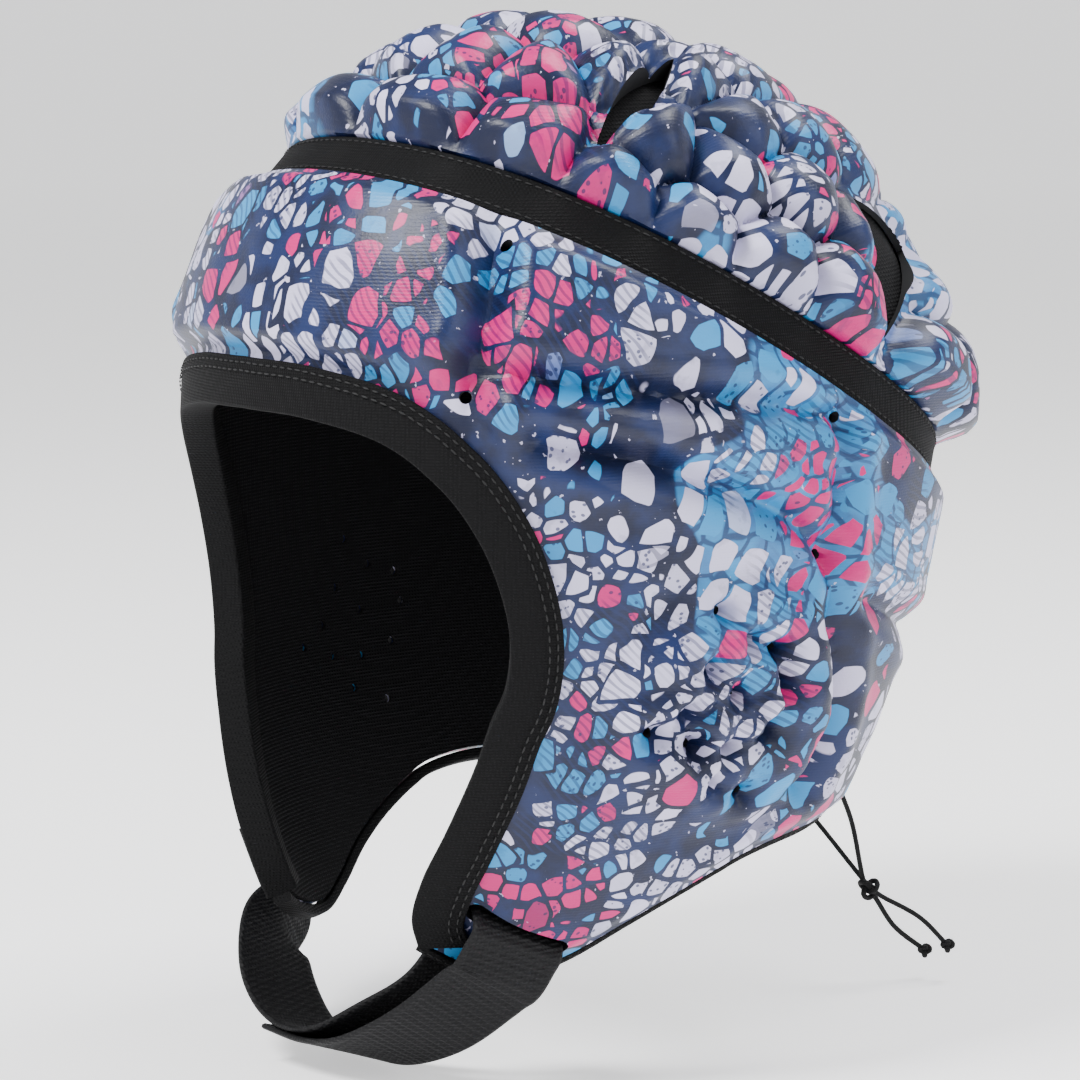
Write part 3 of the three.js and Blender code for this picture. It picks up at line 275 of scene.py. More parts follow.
class SmoothPath:
    """Centripetal Catmull-Rom curve through points of any dimension."""

    def __init__(self, points: Sequence, per_span: int = 40) -> None:
        """Samples the curve.

        Args:
            points: Points that the curve goes through.
            per_span: Samples from one point to the next.
        """
        p = np.array(points, float)
        p = np.vstack([2 * p[0] - p[1], p, 2 * p[-1] - p[-2]])
        rows = [self._span(p[i : i + 4], np.arange(per_span) / per_span) for i in range(len(p) - 3)]
        self.samples = np.vstack([*rows, p[-2:-1]])
        self.params = np.linspace(0.0, 1.0, len(self.samples))
        steps = np.linalg.norm(np.diff(self.samples, axis=0), axis=1)
        self.lengths = np.concatenate([[0.0], np.cumsum(steps)])

    @staticmethod
    def _span(p: Points, t: np.ndarray) -> Points:
        """Points of one span between the middle two of four points.

        Args:
            p: The four points.
            t: Shares of the span.

        Returns:
            The points.
        """
        d0, d1, d2 = (max(float(np.linalg.norm(p[i + 1] - p[i])) ** 0.5, 1e-4) for i in range(3))
        t1 = (p[1] - p[0]) / d0 - (p[2] - p[0]) / (d0 + d1) + (p[2] - p[1]) / d1
        t2 = (p[2] - p[1]) / d1 - (p[3] - p[1]) / (d1 + d2) + (p[3] - p[2]) / d2
        t1, t2 = t1 * d1, t2 * d1
        t = t[:, None]
        cubic = 2 * p[1] - 2 * p[2] + t1 + t2
        square = -3 * p[1] + 3 * p[2] - 2 * t1 - t2
        return p[1] + t1 * t + square * t**2 + cubic * t**3

    @property
    def length(self) -> float:
        """Length of the curve."""
        return float(self.lengths[-1])

    def at_length(self, share: np.ndarray) -> Points:
        """Points at shares of the length."""
        where = np.clip(share, 0.0, 1.0) * self.lengths[-1]
        return np.stack([np.interp(where, self.lengths, c) for c in self.samples.T], axis=-1)

    def at_param(self, share: np.ndarray) -> Points:
        """Points at shares of the parameter, which takes equal steps between the given points."""
        where = np.clip(share, 0.0, 1.0)
        return np.stack([np.interp(where, self.params, c) for c in self.samples.T], axis=-1)


@dataclass(frozen=True)
class HeadForm:
    """Head form that the cap follows, in millimetres."""

    half_width: float = 78.0
    front: float = 92.0
    back: float = 104.0
    dome_height: float = 92.0
    skirt_depth: float = 134.0
    dome_power: float = 0.96
    corner_fullness: float = 0.04
    band_tilt: float = 28.0
    band_drop: float = 62.5
    band_width: float = 11.4
    curves: tuple[ColumnCurve, ...] = field(
        default_factory=lambda: tuple(
            ColumnCurve([row[0] for row in HEAD_LEVELS], [row[k] for row in HEAD_LEVELS])
            for k in (1, 2, 3)
        )
    )

    @property
    def height(self) -> float:
        """Height of the cap."""
        return self.dome_height + self.skirt_depth

    @property
    def band_axis(self) -> Points:
        """Direction that stands on the band's plane."""
        tilt = math.radians(self.band_tilt)
        return np.array([0.0, math.sin(tilt), math.cos(tilt)])

    @property
    def band_forward(self) -> Points:
        """Direction in the band's plane towards the forehead."""
        tilt = math.radians(self.band_tilt)
        return np.array([0.0, -math.cos(tilt), math.sin(tilt)])

    @property
    def band_centre(self) -> Points:
        """Point of the band's plane on the head's axis."""
        return np.array([0.0, 0.0, -self.band_drop])

    @property
    def band_edge(self) -> float:
        """Offset of the foam's edges from the band's middle."""
        return self.band_width / 2 + 0.3

    def outline(self, z: np.ndarray, backward: np.ndarray) -> tuple[np.ndarray, np.ndarray]:
        """Half width and reach at some levels.

        Args:
            z: Levels.
            backward: Whether the back of the head is asked for.

        Returns:
            The half widths, and the reaches forwards or backwards.
        """
        fall = np.maximum(0.0, (-self.dome_height - z) / self.skirt_depth)
        side, front, back = (curve(fall) for curve in self.curves)
        return self.half_width * side, np.where(backward, self.back * back, self.front * front)

    def dome_share(self, z: np.ndarray) -> np.ndarray:
        """Share of the full outline at some levels."""
        up = np.clip((z + self.dome_height) / self.dome_height, 0.0, 1.0)
        return np.sqrt(1 - up * up) ** self.dome_power

    def corner(self, turn: np.ndarray) -> np.ndarray:
        """Factor by which the outline stands out of an ellipse at a turn in radians."""
        return 1 + self.corner_fullness * np.sin(2 * turn) ** 2

    def field(self, p: Points) -> np.ndarray:
        """Zero on the head form and negative inside it."""
        side, reach = self.outline(p[..., 2], p[..., 1] > 0)
        sx = p[..., 0] / side
        sy = -p[..., 1] / reach
        return np.hypot(sx, sy) / self.corner(np.arctan2(sx, sy)) - self.dome_share(p[..., 2])

    def gradient(self, p: Points) -> Points:
        """Gradient of the field.

        Args:
            p: Points.

        Returns:
            The gradients.
        """
        parts = []
        for axis in range(3):
            step = np.zeros(3)
            step[axis] = 0.25
            parts.append((self.field(p + step) - self.field(p - step)) / 0.5)
        return np.stack(parts, axis=-1)

    def normal(self, p: Points) -> Points:
        """Outward directions of the head form."""
        return np.where((p[..., 2] > -0.5)[..., None], np.array([0.0, 0.0, 1.0]), unit(self.gradient(p)))

    def lifted(self, p: Points, rise: np.ndarray | float) -> Points:
        """Points moved outwards."""
        return p + self.normal(p) * np.asarray(rise, float)[..., None]

    def settled(self, p: Points) -> Points:
        """Points near the head form moved onto it."""
        for _ in range(3):
            g = self.gradient(p)
            p = p - g * (self.field(p) / np.einsum("...i,...i->...", g, g))[..., None]
        return p

    def point(self, turn: np.ndarray, z: np.ndarray) -> Points:
        """Points at turns in degrees and levels.

        Args:
            turn: Turns in degrees.
            z: Levels.

        Returns:
            The points.
        """
        turn, z = np.broadcast_arrays(np.asarray(turn, float), np.asarray(z, float))
        a = np.radians(turn)
        side, reach = self.outline(z, np.cos(a) < 0)
        s = self.dome_share(z) * self.corner(a)
        return np.stack([side * np.sin(a) * s, -reach * np.cos(a) * s, z], axis=-1)

    def spot(self, turn: float, drop: float) -> Points:
        """Point at a turn and a drop."""
        return self.point(turn, -drop * self.height)

    def band_level(self, turn: np.ndarray, offset: float) -> np.ndarray:
        """Levels at an offset above the band's plane.

        Args:
            turn: Turns in degrees.
            offset: Offset.

        Returns:
            The levels.
        """
        turn = np.asarray(turn, float)

        def is_high(z: np.ndarray) -> np.ndarray:
            """Whether the head form lies above the offset."""
            return (self.point(turn, z) - self.band_centre) @ self.band_axis > offset

        return bisect(-self.height * 0.8, -1.0, turn.shape, is_high)

    def band_spot(self, turn: np.ndarray) -> Points:
        """Turns and levels along the band's lower side."""
        turn = np.asarray(turn, float)
        return np.stack([turn, self.band_level(turn, -self.band_edge)], axis=-1)

    def crown_point(self, turn: np.ndarray, tip: np.ndarray, offset: float) -> Points:
        """Points seen from the band's axis.

        Args:
            turn: Degrees round the band's axis.
            tip: Degrees down from it.
            offset: Height of the eye over the band's plane.

        Returns:
            The points of the head form.
        """
        turn, tip = np.broadcast_arrays(np.radians(turn), np.radians(tip))
        ahead = (np.sin(tip) * np.cos(turn))[..., None] * self.band_forward
        up = np.cos(tip)[..., None] * self.band_axis
        across = (np.sin(tip) * np.sin(turn))[..., None] * np.array([1.0, 0.0, 0.0])
        way = ahead + up + across
        centre = self.band_centre + self.band_axis * offset

        def is_out(t: np.ndarray) -> np.ndarray:
            """Whether the ray has left the head form."""
            at = centre + way * t[..., None]
            return (at[..., 2] > 0) | (self.field(at) > 0)

        return centre + way * bisect(0.0, 2 * self.back, turn.shape, is_out)[..., None]

    def under(self, p: Points) -> Points:
        """Points of the head form that lie under points of the foam.

        Args:
            p: Points, one a row.

        Returns:
            The points below.
        """
        eye = np.zeros_like(p)
        eye[:, 2] = np.minimum(p[:, 2], -self.dome_height)
        way = unit(p - eye)

        def is_out(t: np.ndarray) -> np.ndarray:
            """Whether the ray has left the head form."""
            at = eye + way * t[:, None]
            return (at[:, 2] > 0) | (self.field(at) > 0)

        return eye + way * bisect(0.0, 2 * self.back, (len(p),), is_out)[:, None]


HEAD = HeadForm()
WALLS = Walls()


def level_rise(rise: float) -> Rise:
    """Rise that is the same everywhere."""
    return lambda points: np.full(len(points), rise)


def slot_place() -> tuple[Points, Points]:
    """Middle of the strap's slot on the head form, and the direction of its length."""
    front, back = (HEAD.spot(*end) for end in SLOT_ENDS)
    return HEAD.settled((front + back) / 2), unit(back - front)


def linked(name: str, data: bpy.types.ID) -> Piece:
    """New object in the scene."""
    obj = bpy.data.objects.new(name, data)
    bpy.context.scene.collection.objects.link(obj)
    return obj


def evaluated_mesh(obj: Piece) -> bpy.types.Mesh:
    """Plain mesh of an object, with its modifiers applied."""
    evaluated = obj.evaluated_get(bpy.context.evaluated_depsgraph_get())
    return bpy.data.meshes.new_from_object(evaluated)


class MeshBuilder:
    """Collects points and faces of a mesh in millimetres."""

    def __init__(self) -> None:
        """Starts empty."""
        self.points: list[Points] = []
        self.faces: list[tuple[int, ...]] = []
        self.count = 0

    def add(self, points: Points) -> np.ndarray:
        """Adds points of any array shape and returns their indices in that shape."""
        flat = points.reshape(-1, 3)
        ids = np.arange(self.count, self.count + len(flat)).reshape(points.shape[:-1])
        self.points.append(flat)
        self.count += len(flat)
        return ids

    def grid(self, ids: np.ndarray, wrap: bool = False, flip: bool = False) -> None:
        """Adds the quads of a grid of indices.

        Args:
            ids: Indices by row and column.
            wrap: Whether the last column joins the first.
            flip: Whether the faces turn the other way.
        """
        if wrap:
            ids = np.concatenate([ids, ids[:, :1]], axis=1)
        quads = np.stack([ids[:-1, :-1], ids[1:, :-1], ids[1:, 1:], ids[:-1, 1:]], axis=-1)
        quads = quads.reshape(-1, 4)
        if flip:
            quads = quads[:, ::-1]
        self.faces.extend(map(tuple, quads.tolist()))

    def build(self, name: str, sharp: float = SHARP_ANGLE) -> Piece:
        """Makes the object, with merged points, faces outward and smooth shading.

        Args:
            name: Name of the object.
            sharp: Angle in degrees above which an edge stays sharp.

        Returns:
            The linked object.
        """
        mesh = bpy.data.meshes.new(name)
        mesh.from_pydata((np.vstack(self.points) * MM).tolist(), [], self.faces)
        mesh.update()
        obj = linked(name, mesh)
        tidy_mesh(obj, sharp)
        return obj


def tidy_mesh(obj: Piece, sharp: float) -> None:
    """Merges doubled points, turns faces outward and sets the shading.

    Args:
        obj: Mesh object.
        sharp: Angle from which an edge is sharp.
    """
    bm = bmesh.new()
    bm.from_mesh(obj.data)
    bmesh.ops.remove_doubles(bm, verts=bm.verts, dist=MERGE_METRES)
    bmesh.ops.dissolve_degenerate(bm, edges=bm.edges, dist=SLIVER_METRES)
    bmesh.ops.recalc_face_normals(bm, faces=bm.faces)
    if bm.calc_volume(signed=True) < 0:
        bmesh.ops.reverse_faces(bm, faces=bm.faces)
    limit = math.radians(sharp)
    for face in bm.faces:
        face.smooth = True
    for edge in bm.edges:
        edge.smooth = len(edge.link_faces) != 2 or edge.calc_face_angle(0.0) < limit
    bm.to_mesh(obj.data)
    bm.free()


def carve(obj: Piece, cutter: Piece) -> Piece:
    """Cuts one object out of another and removes the cutter.

    Args:
        obj: Object to cut.
        cutter: Closed mesh whose material goes to the walls.

    Returns:
        The cut object.
    """
    modifier = obj.modifiers.new("cut", "BOOLEAN")
    modifier.operation = "DIFFERENCE"
    modifier.solver = "EXACT"
    modifier.object = cutter
    modifier.material_mode = "TRANSFER"
    mesh = evaluated_mesh(obj)
    obj.modifiers.remove(modifier)
    obj.data = mesh
    bpy.data.objects.remove(cutter)
    tidy_mesh(obj, SHARP_ANGLE)
    return obj


def place_print(obj: Piece) -> Piece:
    """Stores where the print lies on the head form, so that it follows the puffs as cloth does.

    Args:
        obj: Mesh object.

    Returns:
        The same object.
    """
    co = np.empty(len(obj.data.vertices) * 3)
    obj.data.vertices.foreach_get("co", co)
    base = HEAD.under(co.reshape(-1, 3) / MM) * MM
    attribute = obj.data.attributes.new("print_place", "FLOAT_VECTOR", "POINT")
    attribute.data.foreach_set("vector", base.ravel())
    return obj


def round_outline(diameter: float, corners: int = 14) -> Points:
    """Corners of a circle."""
    a = np.linspace(0, 2 * np.pi, corners, endpoint=False)
    return np.stack([np.cos(a), np.sin(a)], axis=1) * diameter / 2


def rounded_bar(length: float, height: float, corners: int = 7) -> Points:
    """Corners of a bar with round ends.

    Args:
        length: Length over all.
        height: Height.
        corners: Corners of each end.

    Returns:
        The corners.
    """
    a = np.linspace(-np.pi / 2, np.pi / 2, corners)
    end = np.stack([np.cos(a), np.sin(a)], axis=1) * height / 2 + [length / 2 - height / 2, 0]
    return np.vstack([end, -end])


@dataclass
class CutterSet:
    """Cutters that are taken out of a pad together."""

    material: Finish
    reach: float = 26.0
    sharp: float = 30.0
    builder: MeshBuilder = field(default_factory=MeshBuilder)

    def add(self, outline: Points, centre: Points, along: Points) -> None:
        """Adds a prism that stands across the head form.

        Args:
            outline: Corners in its plane, anticlockwise, one a row.
            centre: Point of the head form that it stands on.
            along: Direction of the outline's first axis.
        """
        out = HEAD.normal(centre)
        along = unit(along - out * (along @ out))
        ring = centre + outline[:, :1] * along + outline[:, 1:] * np.cross(out, along)
        ids = self.builder.add(np.stack([ring - out * self.reach, ring + out * self.reach]))
        self.builder.faces += [tuple(ids[0, ::-1].tolist()), tuple(ids[1].tolist())]
        self.builder.grid(ids, wrap=True, flip=True)

    def build(self) -> Piece:
        """Makes the cutter object."""
        obj = self.builder.build("cutter", self.sharp)
        obj.data.materials.append(self.material)
        return obj


def mirrored_points(points: Points) -> Points:
    """The same points on the wearer's other side."""
    return points * np.array([-1.0, 1.0, 1.0])


def ear_centres() -> Points:
    """Points of the left ear holes on the head form.

    Returns:
        The points.
    """
    centre = HEAD.spot(*EAR_SPOT)
    normal = HEAD.normal(centre)
    up = unit(np.cross(normal, np.array([0.0, 1.0, 0.0])))
    up = up if up[2] > 0 else -up
    along = unit(np.cross(up, normal))
    along = along if along[1] > 0 else -along
    spots = []
    for bearing, out in EAR_HOLES:
        a = math.radians(bearing)
        spots.append(centre + (along * math.cos(a) + up * math.sin(a)) * out * EAR_RADIUS)
    return HEAD.settled(np.array(spots))


EAR_POINTS = ear_centres()


@dataclass
class PanelForm:
    """Outline, grid and relief of the lower panel's left half.

    Grid places are columns from the middle of the forehead to the back lacing and rows from the
    band down; the forehead has the first columns and the first rows.
    """

    forehead_part: float = 0.3
    forehead_columns: int = 8
    columns: int = 28
    forehead_rows: int = 8
    rows: int = 18
    tape_width: float = 10.5
    fold_turn: float = 45.5
    ear_rise: float = 3.0
    ear_radius: float = EAR_RADIUS

    def __post_init__(self) -> None:
        """Works out the edge and fold lines."""
        h = HEAD.height
        self.face_path = SmoothPath([(t, -d * h) for t, d in FACE_EDGE])
        self.lower_path = SmoothPath([(t, -d * h) for t, d in LOWER_EDGE])
        self.junction = self.face_edge(np.array(self.forehead_part))
        top = HEAD.band_spot(180.0)
        bottom_level = -LOWER_EDGE[-1][1] * h
        self.lace_top = HEAD.band_spot(self._lace_turn(16.0, float(top[1])))
        self.lace_bottom = np.array([self._lace_turn(22.0, bottom_level), bottom_level])
        brow = HEAD.point(*self.face_edge(np.array(0.0)))
        depth = np.linalg.norm(HEAD.point(*HEAD.band_spot(0.0)) - brow)
        tape, lip = (self.tape_width + 1) / depth, 5 / depth
        upper = self.forehead_rows - 3
        shares = [(k / upper) * (1 - tape - lip) for k in range(upper + 1)]
        self.row_shares = np.array(shares + [1 - tape, 1 - tape / 2, 1.0])
        share = np.linspace(0, 1, 97)
        self.face_line = HEAD.point(*self.face_edge(share).T)
        self.band_line = HEAD.point(*HEAD.band_spot(self.lace_top[0] * share).T)
        self.lower_line = HEAD.point(*self.lower_edge(share).T)
        self.lace_line = HEAD.point(*self.lace_edge(share).T)
        self.fold_lines = [
            (fold, HEAD.point(*SmoothPath([(t, -d * h) for t, d in fold.path]).at_length(share[::2]).T))
            for fold in FOLDS
        ]

    @staticmethod
    def _lace_turn(gap: float, z: float) -> float:
        """Turn of the lacing edge for a gap between the edges."""
        _, reach = HEAD.outline(np.array(z), np.array(True))
        return 180 - math.degrees(math.asin(gap / 2 / float(reach)))

    def face_edge(self, share: np.ndarray) -> Points:
        """Turns and levels along the face edge."""
        return self.face_path.at_length(share)

    def lower_edge(self, share: np.ndarray) -> Points:
        """Turns and levels along the lower edge, stretched to end at the lacing."""
        spots = self.lower_path.at_length(share)
        start, end = LOWER_EDGE[0][0], LOWER_EDGE[-1][0]
        reach = (spots[..., 0] - start) / (end - start)
        turn = start + reach * (self.lace_bottom[0] - start)
        return np.stack([turn, spots[..., 1]], axis=-1)

    def lace_edge(self, share: np.ndarray) -> Points:
        """Turns and levels along the lacing edge."""
        return mix(self.lace_top, self.lace_bottom, share)

    def _fold_line(self, share: np.ndarray) -> Points:
        """Line between the forehead part and the side part."""
        return mix(HEAD.band_spot(self.fold_turn), self.junction, share)

    def _left_edge(self, row: np.ndarray) -> Points:
        """Left edge of the side part at its rows."""
        share = np.interp(row, np.arange(self.forehead_rows + 1), self.row_shares)
        lower = (row - self.forehead_rows) / (self.rows - self.forehead_rows)
        face = self.face_edge(self.forehead_part + (1 - self.forehead_part) * np.clip(lower, 0, 1))
        return np.where((row <= self.forehead_rows)[..., None], self._fold_line(share), face)

    def spots(self, column: np.ndarray, row: np.ndarray) -> Points:
        """Turns and levels at places of the grid.

        Args:
            column: Columns, all of the forehead part or all of the side part.
            row: Rows.

        Returns:
            The spots.
        """
        forehead = bool(np.all(column <= self.forehead_columns) and np.all(row <= self.forehead_rows))
        if forehead:
            u = column / self.forehead_columns
            v = np.interp(row, np.arange(self.forehead_rows + 1), self.row_shares)
            ends = (HEAD.band_spot(0.0), self.face_edge(np.array(0.0)))
            top, bottom = HEAD.band_spot(self.fold_turn * u), self.face_edge(self.forehead_part * u)
            left, right = mix(ends[0], ends[1], v), self._fold_line(v)
            far = (HEAD.band_spot(self.fold_turn), self.junction)
        else:
            u = (column - self.forehead_columns) / (self.columns - self.forehead_columns)
            v = row / self.rows
            ends = (HEAD.band_spot(self.fold_turn), self.lower_edge(np.array(0.0)))
            top = HEAD.band_spot(self.fold_turn + (self.lace_top[0] - self.fold_turn) * u)
            bottom = self.lower_edge(u)
            left, right = self._left_edge(row), self.lace_edge(v)
            far = (self.lace_top, self.lace_bottom)
        corners = mix(mix(ends[0], far[0], u), mix(ends[1], far[1], u), v)
        return mix(left, right, u) + mix(top, bottom, v) - corners

    def thickness(self, points: Points) -> np.ndarray:
        """Foam thickness over points of the head form, without its fine relief.

        Args:
            points: Points of either half, one a row.

        Returns:
            The thicknesses.
        """
        p = points.astype(float)
        p[:, 0] = np.abs(p[:, 0])
        to_face = distance_to(self.face_line, p)
        forehead = 1 - smooth(p[:, 0], 0.5 * HEAD.half_width, 0.7 * HEAD.half_width)
        cheek = smooth(-p[:, 2], 0.72 * HEAD.height, 0.9 * HEAD.height)
        front = forehead * smooth(-p[:, 1], 0, HEAD.front / 2)
        full = WALLS.pad + (WALLS.forehead - WALLS.pad) * front
        full = full + (WALLS.cheek - full) * cheek
        ear = np.linalg.norm(p - HEAD.spot(*EAR_SPOT), axis=1) / self.ear_radius
        full += self.ear_rise * (1 - smooth(ear, 0.25, 1.05))
        full -= 2 * np.exp(-(((ear - 1.1) / 0.14) ** 2))
        for fold, line in self.fold_lines:
            full -= fold.deep * WALLS.pad * np.exp(-((distance_to(line, p) / fold.wide) ** 2))
        lip = 16 + (5 - 16) * forehead
        start = self.tape_width + 3 + (1 - 3) * forehead
        shares = [
            smooth((to_face - start) / lip, 0, 1),
            smooth(distance_to(self.band_line, p), 0, 5) * 0.75 + 0.25,
            smooth(distance_to(self.lower_line, p), 0, 6) * 0.7 + 0.3,
            smooth(distance_to(self.lace_line, p), 0, 4) * 0.5 + 0.5,
        ]
        share = np.minimum.reduce(shares)
        return WALLS.flange + np.maximum(0, full - WALLS.flange) * share


PANEL = PanelForm()

# Puffs between the ear's dimples: turn, level, radius, height
EAR_PUFFS = (
    (96.5, -137.8, 10.0, 1.6), (100, -149.8, 8.0, 1.5), (100, -161, 8.5, 1.7),
    (90.5, -155.4, 4.6, 1.9), (84, -154.6, 5.0, 2.1), (79.5, -160.2, 4.2, 1.5),
    (83.5, -165.1, 5.0, 1.7), (76.5, -171.5, 8.5, 2.4), (70.5, -167.5, 7.0, 2.0),
    (81, -177.3, 7.0, 1.9), (73.5, -155.4, 5.5, 1.8), (76.5, -151.4, 4.6, 1.3),
    (84, -142.6, 6.0, 1.6), (79.5, -139.4, 5.5, 1.3), (74.5, -144.2, 7.0, 1.6),
    (68.5, -158, 6.0, 1.2), (88, -161.5, 4.0, 1.4), (91, -180, 8.0, 1.2),
    (88, -134, 7.0, 1.0), (98, -172, 7.0, 1.3),
)


@dataclass(frozen=True)
class EarRelief:
    """Tufted relief over the ear: puffs, dimples at the holes and pinched folds between them."""

    dimple_depth: float = 5.8
    dimple_width: float = 3.6
    pinch_depth: float = 3.0
    pinch_width: float = 1.7
    pinch_reach: float = 14.5
    pinch_fade: float = 24.0
    reach: float = 48.0
    puff_gain: float = 1.7
    puff_spread: float = 1.2

    def rise(self, p: Points) -> np.ndarray:
        """Relief in millimetres over points of the left half.

        Args:
            p: Points, one a row.

        Returns:
            The relief of each point.
        """
        near = np.linalg.norm(p - HEAD.spot(*EAR_SPOT), axis=1) < self.reach
        out = np.zeros(len(p))
        q = p[near]
        height = np.zeros(len(q))
        for turn, z, radius, tall in EAR_PUFFS:
            d = np.linalg.norm(q - HEAD.point(turn, z), axis=1) / radius
            puff = np.clip(1 - (d / self.puff_spread) ** 2, 0, None) ** 1.3
            height += self.puff_gain * tall * puff
        for hole in EAR_POINTS:
            d = np.linalg.norm(q - hole, axis=1)
            height -= self.dimple_depth * np.exp(-((d / self.dimple_width) ** 2))
        for i, a in enumerate(EAR_POINTS):
            for b in EAR_POINTS[i + 1 :]:
                gap = np.linalg.norm(b - a)
                if gap < self.pinch_reach:
                    d = distance_to(np.stack([a, b]), q)
                    deep = self.pinch_depth * (1 - gap / self.pinch_fade)
                    height -= deep * np.exp(-((d / self.pinch_width) ** 2))
        out[near] = height
        return out


def ripple(p: Points, seed: int, pitch: float) -> np.ndarray:
    """Gentle uneven surface of soft foam, from a few crossing waves.

    Args:
        p: Points, one a row.
        seed: Fixed seed.
        pitch: Typical distance between crests.

    Returns:
        Values from about -1 to 1.
    """
    rng = np.random.default_rng(seed)
    total = np.zeros(len(p))
    for _ in range(7):
        way = unit(rng.normal(size=3))
        wave = 2 * np.pi / (pitch * rng.uniform(0.7, 1.5))
        total += np.sin(p @ way * wave + rng.uniform(0, 2 * np.pi))
    return total / 4


def panel_rise(points: Points) -> np.ndarray:
    """Rise of the lower panel's outer face, with its fine relief.

    Args:
        points: Points, one a row.

    Returns:
        The rise at each.
    """
    left = points.copy()
    left[:, 0] = np.abs(left[:, 0])
    to_face = distance_to(PANEL.face_line, left)
    off_hem = smooth(distance_to(PANEL.lower_line, left), 4, 10)
    relief = EarRelief().rise(left) * smooth(to_face, 15, 24)
    relief *= off_hem
    thickness = PANEL.thickness(points)
    swell = smooth(thickness, 4.0, 7.5)
    calm = smooth(to_face, 12, 19) * smooth(distance_to(PANEL.band_line, left), 3, 8)
    calm *= off_hem
    for fold, line in PANEL.fold_lines:
        away = distance_to(line, left)
        roll = 1.5 * np.exp(-(((away - 8.5) / 4) ** 2)) - 1.7 * np.exp(-((away / 1.6) ** 2))
        relief += roll * calm * fold.deep * 2
    relief += 0.28 * ripple(points, 5, 19) * swell
    step = smooth(-left[:, 2], 68, 77) * (1 - smooth(left[:, 0], 40, 50)) * smooth(-left[:, 1], 20, 40)
    relief -= 0.8 * step * swell
    return WALLS.pad_base + np.maximum(thickness + relief, 1.6)


def panel_grid(
    name: str, fine: int, rise: Rise, inner: Rise, first_row: float | None = None
) -> Piece:
    """Closed solid over the lower panel's grid.

    Args:
        name: Name of the object.
        fine: Steps from one grid line to the next.
        rise: Rise of the outer face.
        inner: Rise of the inner face.
        first_row: Offset of an extra row at the top from the band's middle.

    Returns:
        The object.
    """
    builder = MeshBuilder()

    def block(c0: int, c1: int, r1: int, side: int) -> None:
        """Adds one part of one half."""
        columns = np.linspace(c0, c1, (c1 - c0) * fine + 1)
        column, row = np.meshgrid(columns, np.linspace(0, r1, r1 * fine + 1))
        spots = PANEL.spots(column, row)
        if first_row is not None:
            top = HEAD.band_level(spots[0, :, 0], first_row)
            raised = np.stack([spots[0, :, 0], top], axis=-1)[None]
            spots = np.concatenate([raised, spots], axis=0)
        base = HEAD.point(spots[..., 0] * side, spots[..., 1])
        flat = base.reshape(-1, 3)
        faces = [HEAD.lifted(flat, f(flat)).reshape(base.shape) for f in (rise, inner)]
        ids = [builder.add(face) for face in faces]
        builder.grid(ids[0], flip=side > 0)
        builder.grid(ids[1], flip=side < 0)
        rims = [(ids[0][0], ids[1][0]), (ids[0][-1], ids[1][-1])]
        if c0 > 0:
            start = PANEL.forehead_rows * fine
            rims.append((ids[0][start:, 0], ids[1][start:, 0]))
            rims.append((ids[0][:, -1], ids[1][:, -1]))
        for outer_rim, inner_rim in rims:
            builder.grid(np.stack([outer_rim, inner_rim]))

    for side in (1, -1):
        block(0, PANEL.forehead_columns, PANEL.forehead_rows, side)
        block(PANEL.forehead_columns, PANEL.columns, PANEL.rows, side)
    return builder.build(name)


def bump_centres() -> Points:
    """Tops of all the crown's bumps on the head form."""
    turns = np.array([t * s for t, _ in CROWN_BUMPS for s in (1, -1)], float)
    tips = np.array([tip for _, tip in CROWN_BUMPS for _ in (1, -1)], float)
    return HEAD.crown_point(turns, tips, 0.0)


@dataclass
class SlitForm:
    """Place and outline of one slit on one side."""

    slit: Slit
    half: Half
    steps: int = 14
    far: float = 40.0

    def __post_init__(self) -> None:
        """Works out the frame and the outline."""
        turns = np.array([t for t, _ in self.slit.corners], float)
        tips = np.array([t for _, t in self.slit.corners], float)
        points = HEAD.crown_point(turns, tips, 0.0)
        if self.half is Half.RIGHT:
            points = mirrored_points(points)
        self.centre = HEAD.settled(points.mean(axis=0))
        self.out = HEAD.normal(self.centre)
        along = points[1] - points[0]
        self.along = unit(along - self.out * (along @ self.out))
        self.across = np.cross(self.out, self.along)
        arms = points - self.centre
        flat = np.stack([arms @ self.along, arms @ self.across], axis=1)
        if len(flat) > 2:
            turning = (flat[1, 0] - flat[0, 0]) * (flat[2, 1] - flat[0, 1])
            turning -= (flat[1, 1] - flat[0, 1]) * (flat[2, 0] - flat[0, 0])
            flat = flat if turning > 0 else flat[::-1]
        rows = []
        for here, after in zip(flat, np.roll(flat, -1, axis=0)):
            side = unit(after - here)
            bend = (here + after) / 2 + 2 * self.slit.bow * np.array([side[1], -side[0]])
            t = np.linspace(0, 1, self.steps, endpoint=False)[:, None]
            rows.append((1 - t) ** 2 * here + 2 * t * (1 - t) * bend + t**2 * after)
        self.outline = np.vstack(rows)

    def distance(self, p: Points) -> np.ndarray:
        """Distance of points from the slit's outline, as seen from above it.

        Args:
            p: Points, one a row.

        Returns:
            The distances.
        """
        arms = p - self.centre
        flat = np.stack([arms @ self.along, arms @ self.across, 0 * arms[:, 0]], axis=1)
        ring = np.vstack([self.outline, self.outline[:1]])
        ring = np.hstack([ring, np.zeros((len(ring), 1))])
        other_side = np.abs(arms @ self.out) > self.far
        return np.where(other_side, 2 * self.far, distance_to(ring, flat))


